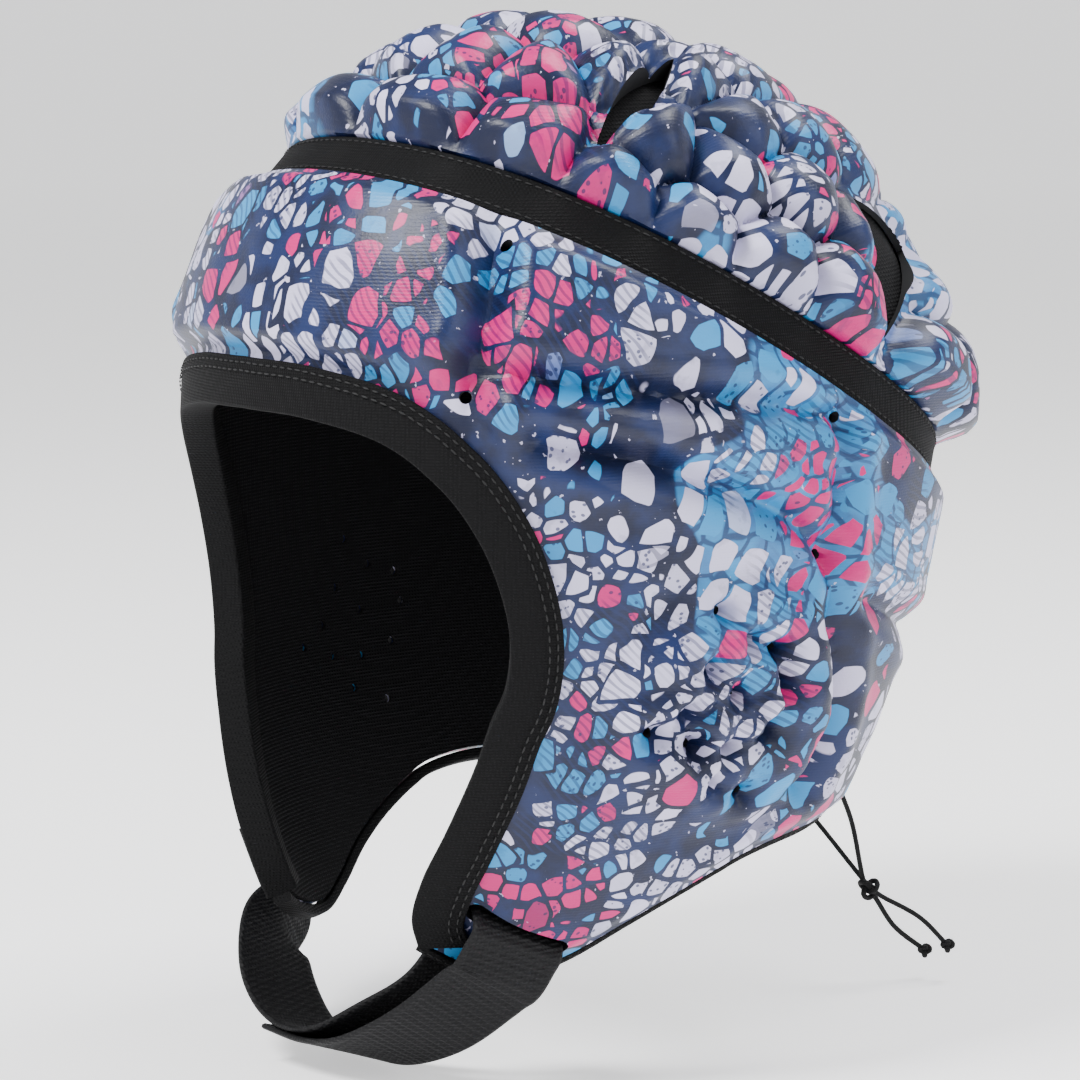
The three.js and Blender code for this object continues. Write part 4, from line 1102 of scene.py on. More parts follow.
@dataclass
class CrownPad:
    """Printed foam over the top of the head, moulded in puffed bumps."""

    crease: float = 3.8
    bulge: float = 7.0
    rear_bulge: float = 3.0
    rear_flat: float = 3.0
    pitch: float = 27.0
    rim_run: float = 6.0
    rings: int = 116
    corners: int = 430
    inner_rings: int = 26
    lining_rings: int = 40
    lining_corners: int = 180
    slit_lip: float = 0.9
    slit_dip: float = 2.4
    corner_press: float = 4.2
    corner_press_width: float = 9.0

    def __post_init__(self) -> None:
        """Finds the bumps and the slits."""
        self.centres = bump_centres()
        self.slits = [SlitForm(slit, half) for slit in CROWN_SLITS for half in Half]

    def rim_height(self, p: Points) -> np.ndarray:
        """Height of points over the foam's rim."""
        return (p - HEAD.band_centre) @ HEAD.band_axis - HEAD.band_edge

    def rise(self, p: Points) -> np.ndarray:
        """Rise of the outer face over points of the head form.

        Args:
            p: Points, one a row.

        Returns:
            The rise at each.
        """
        d = np.sort(np.linalg.norm(p[:, None] - self.centres[None], axis=2), axis=1)[:, :3]
        inside = np.clip((d[:, 1] - d[:, 0]) / (0.8 * self.pitch), 0, 1)
        corner = np.exp(-(((d[:, 2] - d[:, 0]) / 6.5) ** 2))
        bump = 1 - (1 - inside) ** 2.4
        low = 1 - smooth(self.rim_height(p), self.pitch / 2, 1.5 * self.pitch)
        rear = smooth(p[:, 1], -HEAD.front / 3, HEAD.back / 2)
        bulge = self.bulge + rear * (self.rear_bulge * low - self.rear_flat * (1 - low))
        pinch = np.exp(-((inside / 0.07) ** 2))
        full = self.crease + bulge * bump - 0.8 * pinch - 0.8 * corner
        wrinkle = ripple(p, 11, 9) * 0.22 * np.exp(-((inside / 0.3) ** 2))
        full = full + wrinkle + ripple(p, 12, 24) * 0.35
        for slit in self.slits:
            d_slit = slit.distance(p)
            full = full + self.slit_lip * np.exp(-(((d_slit - 6) / 4) ** 2))
            full = full - self.slit_dip * np.exp(-((d_slit / 2.3) ** 2))
            if len(slit.slit.corners) > 2:
                press = np.exp(-((d_slit / self.corner_press_width) ** 2))
                full = full - self.corner_press * press
        rim = smooth(self.rim_height(p), -1, self.rim_run)
        return WALLS.pad_base + np.maximum(WALLS.flange + (full - WALLS.flange) * rim, 1.6)

    def surface(self, rings: int, corners: int, rise: Rise, rim_offset: float | None = None) -> tuple:
        """Points of one face, from its rim to its pole.

        Args:
            rings: Number of rings.
            corners: Corners in each ring.
            rise: Rise of the face.
            rim_offset: Offset of an extra ring from the band's middle.

        Returns:
            The rings of points and the pole.
        """
        tips = np.linspace(90, 90 / rings, rings)
        turn, tip = np.meshgrid(np.linspace(0, 360, corners, endpoint=False), tips)
        base = HEAD.crown_point(turn, tip, HEAD.band_edge)
        if rim_offset is not None:
            extra = HEAD.crown_point(turn[:1], np.full((1, corners), 90.0), rim_offset)
            base = np.concatenate([extra, base])
        flat = base.reshape(-1, 3)
        pole = HEAD.crown_point(np.zeros(1), np.zeros(1), HEAD.band_edge)
        return HEAD.lifted(flat, rise(flat)).reshape(base.shape), HEAD.lifted(pole, rise(pole))

    def shell(self, name: str, outer: tuple, inner: tuple) -> Piece:
        """Closed dome between two faces with equal corners in their rings.

        Args:
            name: Name of the object.
            outer: Rings and pole of the outer face.
            inner: Rings and pole of the inner face.

        Returns:
            The object.
        """
        builder = MeshBuilder()
        rims = []
        for flip, (rows, pole) in ((False, outer), (True, inner)):
            ids = builder.add(rows)
            builder.grid(ids, wrap=True, flip=flip)
            top = int(builder.add(pole)[0])
            last = ids[-1]
            fan = [(int(a), top, int(b)) for a, b in zip(last, np.roll(last, -1))]
            builder.faces += [face[::-1] for face in fan] if flip else fan
            rims.append(ids[0])
        builder.grid(np.stack(rims), wrap=True, flip=True)
        return builder.build(name)

    def build(self, print_material: Finish, wall: Finish) -> Piece:
        """Makes the pad with its slits cut through.

        Args:
            print_material: Finish of the faces.
            wall: Finish of the cut walls.

        Returns:
            The object.
        """
        outer = self.surface(self.rings, self.corners, self.rise)
        inner = self.surface(self.inner_rings, self.corners, level_rise(WALLS.pad_base))
        pad = self.shell("printed_crown", outer, inner)
        pad.data.materials.append(print_material)
        cutters = CutterSet(wall)
        for slit in self.slits:
            cutters.add(slit.outline, slit.centre, slit.along)
        return place_print(carve(pad, cutters.build()))

    def build_lining(self, lining: Finish) -> Piece:
        """Makes the lining below the pad, which goes on under the band.

        Args:
            lining: Finish.

        Returns:
            The object.
        """
        faces = [
            self.surface(self.lining_rings, self.lining_corners, level_rise(rise), WALLS.lining_gap)
            for rise in (WALLS.lining, 0.0)
        ]
        shell = self.shell("knit_crown_lining", *faces)
        shell.data.materials.append(lining)
        return shell


@dataclass
class LowerPanel:
    """Printed foam round the forehead, ears, cheeks and nape, with its lining."""

    fine: int = 7
    lining_fine: int = 3
    vent_diameter: float = 3.0
    ear_hole_diameter: float = 2.4
    eyelet_diameter: float = 3.4
    slot_length: float = 28.0
    slot_height: float = 5.4
    eyelet_inset: float = 8.0

    def eyelet(self, drop: float) -> Points:
        """Turn and level of a left eyelet.

        Args:
            drop: Its drop.

        Returns:
            The turn and the level.
        """
        z = -drop * HEAD.height
        share = (z - PANEL.lace_top[1]) / (PANEL.lace_bottom[1] - PANEL.lace_top[1])
        edge = PANEL.lace_edge(np.array(share))
        _, reach = HEAD.outline(np.array(z), np.array(True))
        return np.array([edge[0] - math.degrees(self.eyelet_inset / float(reach)), z])

    def cutters(self, wall: Finish, vents: bool) -> Piece:
        """Cutters of the ear holes, eyelets and slot, and of the vents where asked for.

        Args:
            wall: Finish of the cut walls.
            vents: Whether to add vents.

        Returns:
            The object.
        """
        cutters = CutterSet(wall)
        up = np.array([0.0, 0.0, 1.0])
        for hole in EAR_POINTS:
            for point in (hole, mirrored_points(hole)):
                cutters.add(round_outline(self.ear_hole_diameter), point, up)
        for side in (1, -1):
            for drop in EYELET_DROPS:
                turn, z = self.eyelet(drop)
                cutters.add(round_outline(self.eyelet_diameter), HEAD.point(turn * side, z), up)
            for turn, drop in VENTS if vents else ():
                cutters.add(round_outline(self.vent_diameter), HEAD.spot(turn * side, drop), up)
        cutters.add(rounded_bar(self.slot_length, self.slot_height), *slot_place())
        return cutters.build()

    def build(self, print_material: Finish, wall: Finish) -> Piece:
        """Makes the padded panel.

        Args:
            print_material: Finish of the faces.
            wall: Finish of the cut walls.

        Returns:
            The object.
        """
        pad = panel_grid("printed_lower_panel", self.fine, panel_rise, level_rise(WALLS.pad_base))
        pad.data.materials.append(print_material)
        return place_print(carve(pad, self.cutters(wall, True)))

    def build_lining(self, lining: Finish) -> Piece:
        """Makes the lining inside the panel.

        Args:
            lining: Finish.

        Returns:
            The object.
        """
        faces = level_rise(WALLS.lining), level_rise(0.0)
        shell = panel_grid("knit_lower_lining", self.lining_fine, *faces, -WALLS.lining_gap)
        shell.data.materials.append(lining)
        return carve(shell, self.cutters(lining, False))


def swept(
    sections: Points, name: str, closed: bool = False, sharp: float = SHARP_ANGLE
) -> Piece:
    """Solid through sections with equal corner counts.

    Args:
        sections: Points by station and corner.
        name: Name of the object.
        closed: Whether the last station joins the first.
        sharp: Angle above which an edge stays sharp.

    Returns:
        The object.
    """
    builder = MeshBuilder()
    ids = builder.add(sections)
    rows = np.concatenate([ids, ids[:1]]) if closed else ids
    builder.grid(rows, wrap=True)
    if not closed:
        for row in (ids[0], ids[-1]):
            builder.faces.append(tuple(row.tolist()))
    return builder.build(name, sharp)


def frames_along(points: Points, up: Points) -> tuple[Points, Points]:
    """Directions up and sideways at each point of a line.

    Args:
        points: Points of the line.
        up: First up direction, carried along without twist.

    Returns:
        The two directions, one a row.
    """
    along = unit(np.gradient(points, axis=0))
    ups = []
    for way in along:
        up = unit(up - way * (up @ way))
        ups.append(up)
    return np.array(ups), np.cross(along, ups)


def round_angles(sides: int) -> np.ndarray:
    """Angles of a ring's corners, as one row."""
    return np.linspace(0, 2 * np.pi, sides, endpoint=False)[None]


def tube(
    line: Points, up: Points, side: Points, radius: np.ndarray, name: str, closed: bool = False
) -> Piece:
    """Round cord along a line.

    Args:
        line: Points of its centreline.
        up: Up direction at each point.
        side: Sideways direction at each point.
        radius: Radius by point and corner.
        name: Name of the object.
        closed: Whether its ends meet.

    Returns:
        The object.
    """
    a = round_angles(radius.shape[1])
    ring = np.cos(a)[..., None] * up[:, None] + np.sin(a)[..., None] * side[:, None]
    return swept(line[:, None] + ring * radius[..., None], name, closed, sharp=80)


def rounded_profile(outline: Sequence, radius: float, steps: int) -> Points:
    """Cross-section with rounded corners.

    Args:
        outline: Corners, as rows of distance inward and rise.
        radius: Largest radius of a corner.
        steps: Points on each corner.

    Returns:
        The points, one a row.
    """
    p = np.array(outline, float)
    rows = []
    for before, here, after in zip(np.roll(p, 1, axis=0), p, np.roll(p, -1, axis=0)):
        r = min(radius, np.linalg.norm(before - here) / 2.2, np.linalg.norm(after - here) / 2.2)
        a, b = here + unit(before - here) * r, here + unit(after - here) * r
        t = np.linspace(0, 1, steps)[:, None]
        rows.append((1 - t) ** 2 * a + 2 * t * (1 - t) * here + t**2 * b)
    return np.vstack(rows)


def sections_along(edge: Points, profile: Points) -> Points:
    """Cross-sections walked inward from an edge of the head form.

    Args:
        edge: Points of the edge.
        profile: Rows of distance inward and rise.

    Returns:
        Points by station and corner.
    """
    way = unit(np.gradient(edge, axis=0))
    inward = unit(np.cross(HEAD.normal(edge), way))
    columns = []
    for into, rise in profile:
        columns.append(HEAD.lifted(HEAD.settled(edge + inward * into), rise))
    return np.stack(columns, axis=1)


class NodeBench:
    """Adds nodes to a tree and feeds their inputs."""

    def __init__(self, tree: bpy.types.NodeTree) -> None:
        """Keeps the tree."""
        self.tree = tree

    def put(self, node: bpy.types.Node, socket: int | str, value: object) -> None:
        """Links or sets an input.

        Args:
            node: Node of the tree.
            socket: Name or number of the input.
            value: Output socket or constant.
        """
        if isinstance(value, Socket):
            self.tree.links.new(value, node.inputs[socket])
        else:
            node.inputs[socket].default_value = value

    def node(self, kind: str, inputs: dict | None = None, **settings: object) -> bpy.types.Node:
        """Adds a node.

        Args:
            kind: Type of the node.
            inputs: Output sockets or constants for its inputs, by name or number.
            settings: Properties of the node, which are set first.

        Returns:
            The node.
        """
        node = self.tree.nodes.new(kind)
        for key, value in settings.items():
            setattr(node, key, value)
        for socket, value in (inputs or {}).items():
            self.put(node, socket, value)
        return node


@dataclass(frozen=True)
class Stitch:
    """Sizes of the stitches of a row in millimetres, with their lean in radians and a seed."""

    pitch: float
    length: float
    thread: float
    lean: float = 0.07
    seed: int = 4


class StitchRun:
    """Rows of thread stitches along paths, made with Geometry Nodes."""

    def __init__(self, thread: Finish) -> None:
        """Builds the node group for a thread."""
        self.thread = thread
        self.group = self._group()

    @staticmethod
    def _group() -> bpy.types.NodeTree:
        """Makes the node group, with named inputs for the sizes, the seed and the material.

        Returns:
            The node group.
        """
        group = bpy.data.node_groups.new("stitches", "GeometryNodeTree")
        kinds = {
            "Path": "Geometry", "Pitch": "Float", "Stitch Length": "Float", "Thread": "Float",
            "Lean": "Float", "Seed": "Int", "Material": "Material",
        }
        for name, kind in kinds.items():
            group.interface.new_socket(name, in_out="INPUT", socket_type=f"NodeSocket{kind}")
        group.interface.new_socket("Stitches", in_out="OUTPUT", socket_type="NodeSocketGeometry")
        bench = NodeBench(group)
        given = bench.node("NodeGroupInput").outputs
        curve = bench.node("GeometryNodeMeshToCurve", {0: given["Path"]})
        spacing = {"Curve": curve.outputs[0], "Length": given["Pitch"]}
        points = bench.node("GeometryNodeResampleCurve", spacing, mode="LENGTH")
        ball = bench.node("GeometryNodeMeshUVSphere", {"Segments": 8, "Rings": 5, "Radius": 0.5})
        sizes = {"X": given["Stitch Length"], "Y": given["Thread"], "Z": given["Thread"]}
        size = bench.node("ShaderNodeCombineXYZ", sizes)
        shape = {"Geometry": ball.outputs["Mesh"], "Scale": size.outputs[0]}
        stitch = bench.node("GeometryNodeTransform", shape)
        way = {"Vector": bench.node("GeometryNodeInputTangent").outputs[0]}
        turn = bench.node("FunctionNodeAlignRotationToVector", way, axis="X")
        limits = {0: (-1.0, -1.0, -1.0), 1: (1.0, 1.0, 1.0), "Seed": given["Seed"]}
        spread = bench.node("FunctionNodeRandomValue", limits, data_type="FLOAT_VECTOR")
        leaning = {0: spread.outputs[0], "Scale": given["Lean"]}
        lean = bench.node("ShaderNodeVectorMath", leaning, operation="SCALE")
        euler = bench.node("FunctionNodeEulerToRotation", {0: lean.outputs[0]})
        rotated = bench.node("FunctionNodeRotateRotation", {0: turn.outputs[0], 1: euler.outputs[0]})
        placed = bench.node("GeometryNodeInstanceOnPoints", {
            "Points": points.outputs[0], "Instance": stitch.outputs[0], "Rotation": rotated.outputs[0],
        })
        shade = bench.node("GeometryNodeSetShadeSmooth", {"Geometry": placed.outputs[0]})
        real = bench.node("GeometryNodeRealizeInstances", {0: shade.outputs[0]})
        finish = {"Geometry": real.outputs[0], "Material": given["Material"]}
        paint = bench.node("GeometryNodeSetMaterial", finish)
        bench.node("NodeGroupOutput", {0: paint.outputs[0]})
        return group

    def sew(self, name: str, paths: list[Points], stitch: Stitch) -> Piece:
        """Sews stitches along paths.

        Args:
            name: Name of the object.
            paths: Lines of points in millimetres.
            stitch: Sizes of the stitches.

        Returns:
            The stitches as a plain mesh.
        """
        edges, start = [], 0
        for path in paths:
            edges += [(start + i, start + i + 1) for i in range(len(path) - 1)]
            start += len(path)
        line = bpy.data.meshes.new(f"{name}_line")
        line.from_pydata((np.vstack(paths) * MM).tolist(), edges, [])
        carrier = linked(f"{name}_line", line)
        modifier = carrier.modifiers.new("stitches", "NODES")
        modifier.node_group = self.group
        values = {
            "Pitch": stitch.pitch * MM, "Stitch Length": stitch.length * MM,
            "Thread": stitch.thread * MM, "Lean": stitch.lean, "Seed": stitch.seed,
            "Material": self.thread,
        }
        for item in self.group.interface.items_tree:
            if item.in_out == "INPUT" and item.name in values:
                modifier[item.identifier] = values[item.name]
        mesh = evaluated_mesh(carrier)
        mesh.name = name
        bpy.data.objects.remove(carrier)
        return linked(name, mesh)


@dataclass
class FaceBinding:
    """Tape folded over the foam's edge round the face."""

    width: float = 10.5
    inner_width: float = 6.5
    thickness: float = 1.0
    stations: int = 420
    stitch: Stitch = Stitch(2.6, 1.9, 0.45)

    @property
    def over(self) -> float:
        """Rise of the tape's outer leg over the head form."""
        return WALLS.pad_base + WALLS.flange + WALLS.tape_clearance + WALLS.facet_slack

    @property
    def under(self) -> float:
        """Rise of the tape's inner leg."""
        return -WALLS.tape_clearance - 2 * WALLS.facet_slack

    def edge(self) -> Points:
        """Points from the right flap tip over the forehead to the left flap tip."""
        share = np.linspace(-1, 1, self.stations + 1)
        points = HEAD.point(*PANEL.face_edge(np.abs(share)).T)
        points[:, 0] *= np.where(share < 0, -1, 1)
        return points

    def build(self, tape: Finish) -> Piece:
        """Makes the tape.

        Args:
            tape: Finish.

        Returns:
            The object.
        """
        lip, t = -WALLS.tape_clearance, self.thickness
        corners = (
            (self.inner_width, self.under - t), (lip - t, self.under - t), (lip - t, self.over + t),
            (self.width, self.over + t), (self.width, self.over), (lip, self.over), (lip, self.under),
            (self.inner_width, self.under),
        )
        rows = rounded_profile(corners, 0.95, 5)
        outside = rows[:, 1] > self.over + t - 0.3
        crown = 0.35 * np.sin(np.pi * np.clip(rows[:, 0] / self.width, 0, 1))
        rows[:, 1] += np.where(outside, crown, 0)
        obj = swept(sections_along(self.edge(), rows), "woven_face_binding")
        obj.data.materials.append(tape)
        return obj

    def seams(self) -> list[Points]:
        """Paths of its two topstitch rows.

        Returns:
            The two paths.
        """
        top = self.over + self.thickness
        rows = np.array([(self.width - 1.5, top + 0.16), (self.width - 3.4, top + 0.3)])
        sections = sections_along(self.edge()[3:-3], rows)
        return [sections[:, 0], sections[:, 1]]


@dataclass
class CrownBand:
    """Tape in the valley between the crown and the lower panel."""

    thickness: float = 2.4
    stations: int = 300
    stitch_inset: float = 1.6
    stitch: Stitch = Stitch(2.6, 1.9, 0.45)

    @property
    def base(self) -> float:
        """Rise of the tape's inner face."""
        return WALLS.pad_base + 1.4 * WALLS.facet_slack

    def _row(self, offset: float, rise: float) -> Points:
        """Closed row of points at an offset and a rise."""
        turn = np.linspace(0, 360, self.stations, endpoint=False)
        return HEAD.lifted(HEAD.point(turn, HEAD.band_level(turn, offset)), rise)

    def build(self, tape: Finish) -> Piece:
        """Makes the ring.

        Args:
            tape: Finish.

        Returns:
            The object.
        """
        half, top = HEAD.band_width / 2, self.base + self.thickness
        corners = ((half, self.base), (half, top), (-half, top), (-half, self.base))
        rows = [self._row(offset, rise) for offset, rise in rounded_profile(corners, 0.9, 5)]
        obj = swept(np.stack(rows, axis=1), "woven_crown_band", closed=True)
        obj.data.materials.append(tape)
        return obj

    def seams(self) -> list[Points]:
        """Paths of its two topstitch rows."""
        rise, inset = self.base + self.thickness + 0.08, HEAD.band_width / 2 - self.stitch_inset
        return [np.vstack([row, row[:1]]) for row in (self._row(inset, rise), self._row(-inset, rise))]


@dataclass
class NeckHem:
    """Thin binding below the foam, from a flap tip to the back lacing.

    It starts a little ahead of the tip, below the end of the face binding.
    """

    half: Half
    width: float = 3.0
    reach: float = 5.4
    stations: int = 260
    stitch: Stitch = Stitch(2.4, 1.7, 0.4)

    def _edge(self) -> Points:
        """Points of the foam's lower edge, left half."""
        points = HEAD.point(*PANEL.lower_edge(np.linspace(0, 1, self.stations)).T)
        way = unit(points[0] - points[4])
        lead = np.array([1.2, 0.6])[:, None]
        return np.vstack([HEAD.settled(points[0] + way * lead), points])

    def build(self, tape: Finish) -> Piece:
        """Makes the binding.

        Args:
            tape: Finish.

        Returns:
            The object.
        """
        lip = -WALLS.tape_clearance
        outer, low = lip - self.width, 0.2
        corners = ((outer, low), (lip, low), (lip, self.reach), (outer, self.reach - 0.8))
        sections = sections_along(self._edge(), rounded_profile(corners, 1.0, 6))
        if self.half is Half.RIGHT:
            sections = mirrored_points(sections)
        obj = swept(sections, f"woven_neck_binding_{self.half.name.lower()}")
        obj.data.materials.append(tape)
        return obj

    def seam(self) -> Points:
        """Path of its topstitch row."""
        row = np.array([(-WALLS.tape_clearance - self.width * 0.5, self.reach - 0.3)])
        seam = sections_along(self._edge(), row)[2:-2, 0]
        return mirrored_points(seam) if self.half is Half.RIGHT else seam


@dataclass
class ChinStrap:
    """Ribbed webbing from the right flap under the chin, through the left slot and back on itself.

    Rows of loop and back are shares of the head form's half width, front and height, and the yaw
    and dip of the webbing's width in degrees; rows of sewn are turns and drops.
    """

    width: float = 25.0
    thickness: float = 1.6
    inside_flap: float = 5.2
    rib_pitch: float = 2.1
    rib_height: float = 0.22
    step: float = 0.5
    stitch: Stitch = Stitch(2.2, 1.6, 0.5)
    loop: tuple = (
        (-0.577, 0.636, 1.024, -24, 4), (-0.397, 0.728, 1.073, -10, 10), (-0.192, 0.761, 1.105, -4, 16),
        (0, 0.745, 1.106, 0, 20), (0.205, 0.69, 1.073, 6, 26), (0.365, 0.615, 1.035, 10, 29),
    )
    back: tuple = (
        (0.57, 0.62, 1.018, 12, 30), (0.4, 0.69, 1.07, 10, 28), (0.18, 0.748, 1.108, 6, 23),
        (-0.01, 0.758, 1.118, 0, 19), (-0.225, 0.768, 1.113, -4, 16),
    )
    sewn: tuple = ((-52.5, 0.895), (-52, 0.94), (-51, 0.985))

    @staticmethod
    def _way(yaw: float, dip: float) -> Points:
        """Direction of the webbing's width."""
        yaw, dip = math.radians(yaw), math.radians(dip)
        return np.array([math.sin(yaw) * math.cos(dip), math.cos(yaw) * math.cos(dip), -math.sin(dip)])

    def _station(self, row: tuple) -> tuple[Points, Points]:
        """Point and width direction of a table row."""
        across, ahead, drop, yaw, dip = row
        point = np.array([across * HEAD.half_width, -ahead * HEAD.front, -drop * HEAD.height])
        return point, self._way(yaw, dip)

    @staticmethod
    def _between(stations: list, per_span: int) -> list:
        """Stations between given ones, on a smooth curve.

        Args:
            stations: Given stations.
            per_span: Steps from one to the next.

        Returns:
            The stations.
        """
        path = SmoothPath([point for point, _ in stations])
        share = np.linspace(0, 1, (len(stations) - 1) * per_span + 1)
        place = share * (len(stations) - 1)
        low = np.minimum(place.astype(int), len(stations) - 2)
        ways = np.array([way for _, way in stations])
        way = unit(mix(ways[low], ways[low + 1], place - low))
        return list(zip(path.at_param(share), way))

    def stations(self) -> list:
        """All stations, as point and width direction.

        Returns:
            The stations, from the sewn end to the loose one.
        """
        over = WALLS.pad_base + WALLS.cheek + 1 + self.thickness / 2
        sewn = [(HEAD.lifted(HEAD.spot(t, d), over), self._way(-34, 0)) for t, d in self.sewn]
        middle, slot_way = slot_place()
        out = HEAD.normal(middle)
        down = unit(np.cross(slot_way, out))
        down = -down if down[2] > 0 else down
        inside, outside = self.inside_flap, WALLS.pad_base + WALLS.cheek + 2.2

        def at_slot(low: float, rise: float) -> tuple[Points, Points]:
            """Station near the slot."""
            return middle + down * low + out * rise, slot_way

        loop = [self._station(row) for row in self.loop]
        before = self._between([*sewn, *loop, at_slot(15, -inside - 1.5), at_slot(8, -inside)], 6)
        through = [
            at_slot(3.5, -inside), at_slot(1.2, -inside + 0.7), at_slot(0.2, -inside + 2.6),
            at_slot(-0.1, WALLS.pad_base + 2), at_slot(0.2, outside - 2.2), at_slot(1.4, outside - 0.4),
        ]
        back = [self._station(row) for row in self.back]
        after = self._between([at_slot(4, outside), at_slot(13, outside + 0.6), *back], 6)
        return [*before, *through, *after]

    def line(self) -> tuple[Points, Points]:
        """Dense centreline and width directions.

        Returns:
            The points and the directions.
        """
        stations = self.stations()
        path = SmoothPath([point for point, _ in stations], per_span=6)
        ways = np.array([way for _, way in stations])
        share = np.linspace(0, 1, int(path.length / self.step))
        where = np.interp(share * path.length, path.lengths, path.params) * (len(stations) - 1)
        low = np.minimum(where.astype(int), len(stations) - 2)
        points, ways = path.at_length(share), unit(mix(ways[low], ways[low + 1], where - low))
        slot, _ = slot_place()
        keep = smooth(np.linalg.norm(points - slot, axis=1), 13, 26)
        return mix(points, self._eased(points, 14), keep), unit(self._eased(ways, 20))

    @staticmethod
    def _eased(rows: Points, reach: int) -> Points:
        """Rows averaged with their neighbours, with the ends kept.

        Args:
            rows: Rows.
            reach: Neighbours to each side.

        Returns:
            The rows.
        """
        weights = np.hanning(2 * reach + 3)[1:-1]
        weights /= weights.sum()
        head = 2 * rows[0] - rows[reach:0:-1]
        tail = 2 * rows[-1] - rows[-2 : -2 - reach : -1]
        padded = np.vstack([head, rows, tail])
        return np.stack([np.convolve(column, weights, "valid") for column in padded.T], axis=1)

    def _rows(self, offsets: Points) -> Points:
        """Rows of points beside the centreline, by width share and rise.

        Args:
            offsets: Width shares and rises.

        Returns:
            Points by station and offset.
        """
        points, ways = self.line()
        along = unit(np.gradient(points, axis=0))
        flat = unit(ways - along * np.einsum("ij,ij->i", ways, along)[:, None])
        face = np.cross(along, flat)
        cols = [points + flat * w * self.width / 2 + face * t for w, t in offsets]
        return np.stack(cols, axis=1)

    def build(self, webbing: Finish) -> Piece:
        """Makes the webbing with ribs across it.

        Args:
            webbing: Finish.

        Returns:
            The object.
        """
        half = self.thickness / 2
        side = np.linspace(-0.93, 0.93, 13)
        offsets = [(w, -half) for w in side] + [(1.0, -half * 0.45), (1.0, half * 0.45)]
        offsets += [(w, half) for w in side[::-1]] + [(-1.0, half * 0.45), (-1.0, -half * 0.45)]
        sections = self._rows(np.array(offsets))
        travel = np.arange(len(sections)) * self.step
        rib = self.rib_height * np.cos(2 * np.pi * travel / self.rib_pitch)
        centre = sections.mean(axis=1, keepdims=True)
        faces = np.array([abs(t) for _, t in offsets]) > half * 0.9
        normal = unit(np.cross(np.gradient(centre[:, 0], axis=0), sections[:, 0] - sections[:, 12]))
        inset = np.abs(np.array([w for w, _ in offsets])) < 0.9
        sign = np.sign([t for _, t in offsets])
        lift = (rib[:, None] - self.rib_height) * (faces & inset) * sign
        first = sections[:, 24] - sections[:, 2]
        normal = normal * np.sign(np.einsum("ij,ij->i", normal, first))[:, None]
        sections = sections + normal[:, None] * lift[..., None]
        obj = swept(sections, "ribbed_chin_strap", sharp=70)
        obj.data.materials.append(webbing)
        return obj

    def seams(self) -> list[Points]:
        """Paths of the stitch box that holds the sewn end on the right flap.

        Returns:
            The paths.
        """
        rise = self.thickness / 2 + 0.1
        rows = self._rows(np.array([(w, s * rise) for s in (1, -1) for w in (-0.8, 0.8)]))[4:44]
        first_is_outer = np.linalg.norm(rows[0, 0]) > np.linalg.norm(rows[0, 2])
        outer = rows[:, :2] if first_is_outer else rows[:, 2:]
        across = [np.linspace(outer[k, 0], outer[k, 1], 12) for k in (0, 22, -1)]
        return [outer[:, 0], outer[:, 1], *across]


@dataclass(frozen=True)
class Braid:
    """Round braided cord: a tube with the relief of its strands."""

    diameter: float = 1.5
    sides: int = 16
    step: float = 0.3
    lay: float = 3.2
    relief: float = 0.09

    def build(self, points: Points, name: str, material: Finish) -> Piece:
        """Makes the cord along a line.

        Args:
            points: Points of its centreline.
            name: Name of the object.
            material: Finish.

        Returns:
            The object.
        """
        path = SmoothPath(points, per_span=4)
        count = max(8, int(path.length / self.step))
        line = path.at_length(np.linspace(0, 1, count))
        up, side = frames_along(line, np.array([0.3, 0.2, 1.0]))
        a = round_angles(self.sides)
        travel = (np.arange(count) * self.step)[:, None]
        turn = 2 * np.pi * travel / self.lay
        weave = np.cos(4 * a + turn * 2) * np.cos(4 * a - turn * 2)
        radius = self.diameter / 2 * (1 - self.relief + self.relief * weave)
        obj = tube(line, up, side, radius, name)
        obj.data.materials.append(material)
        return obj


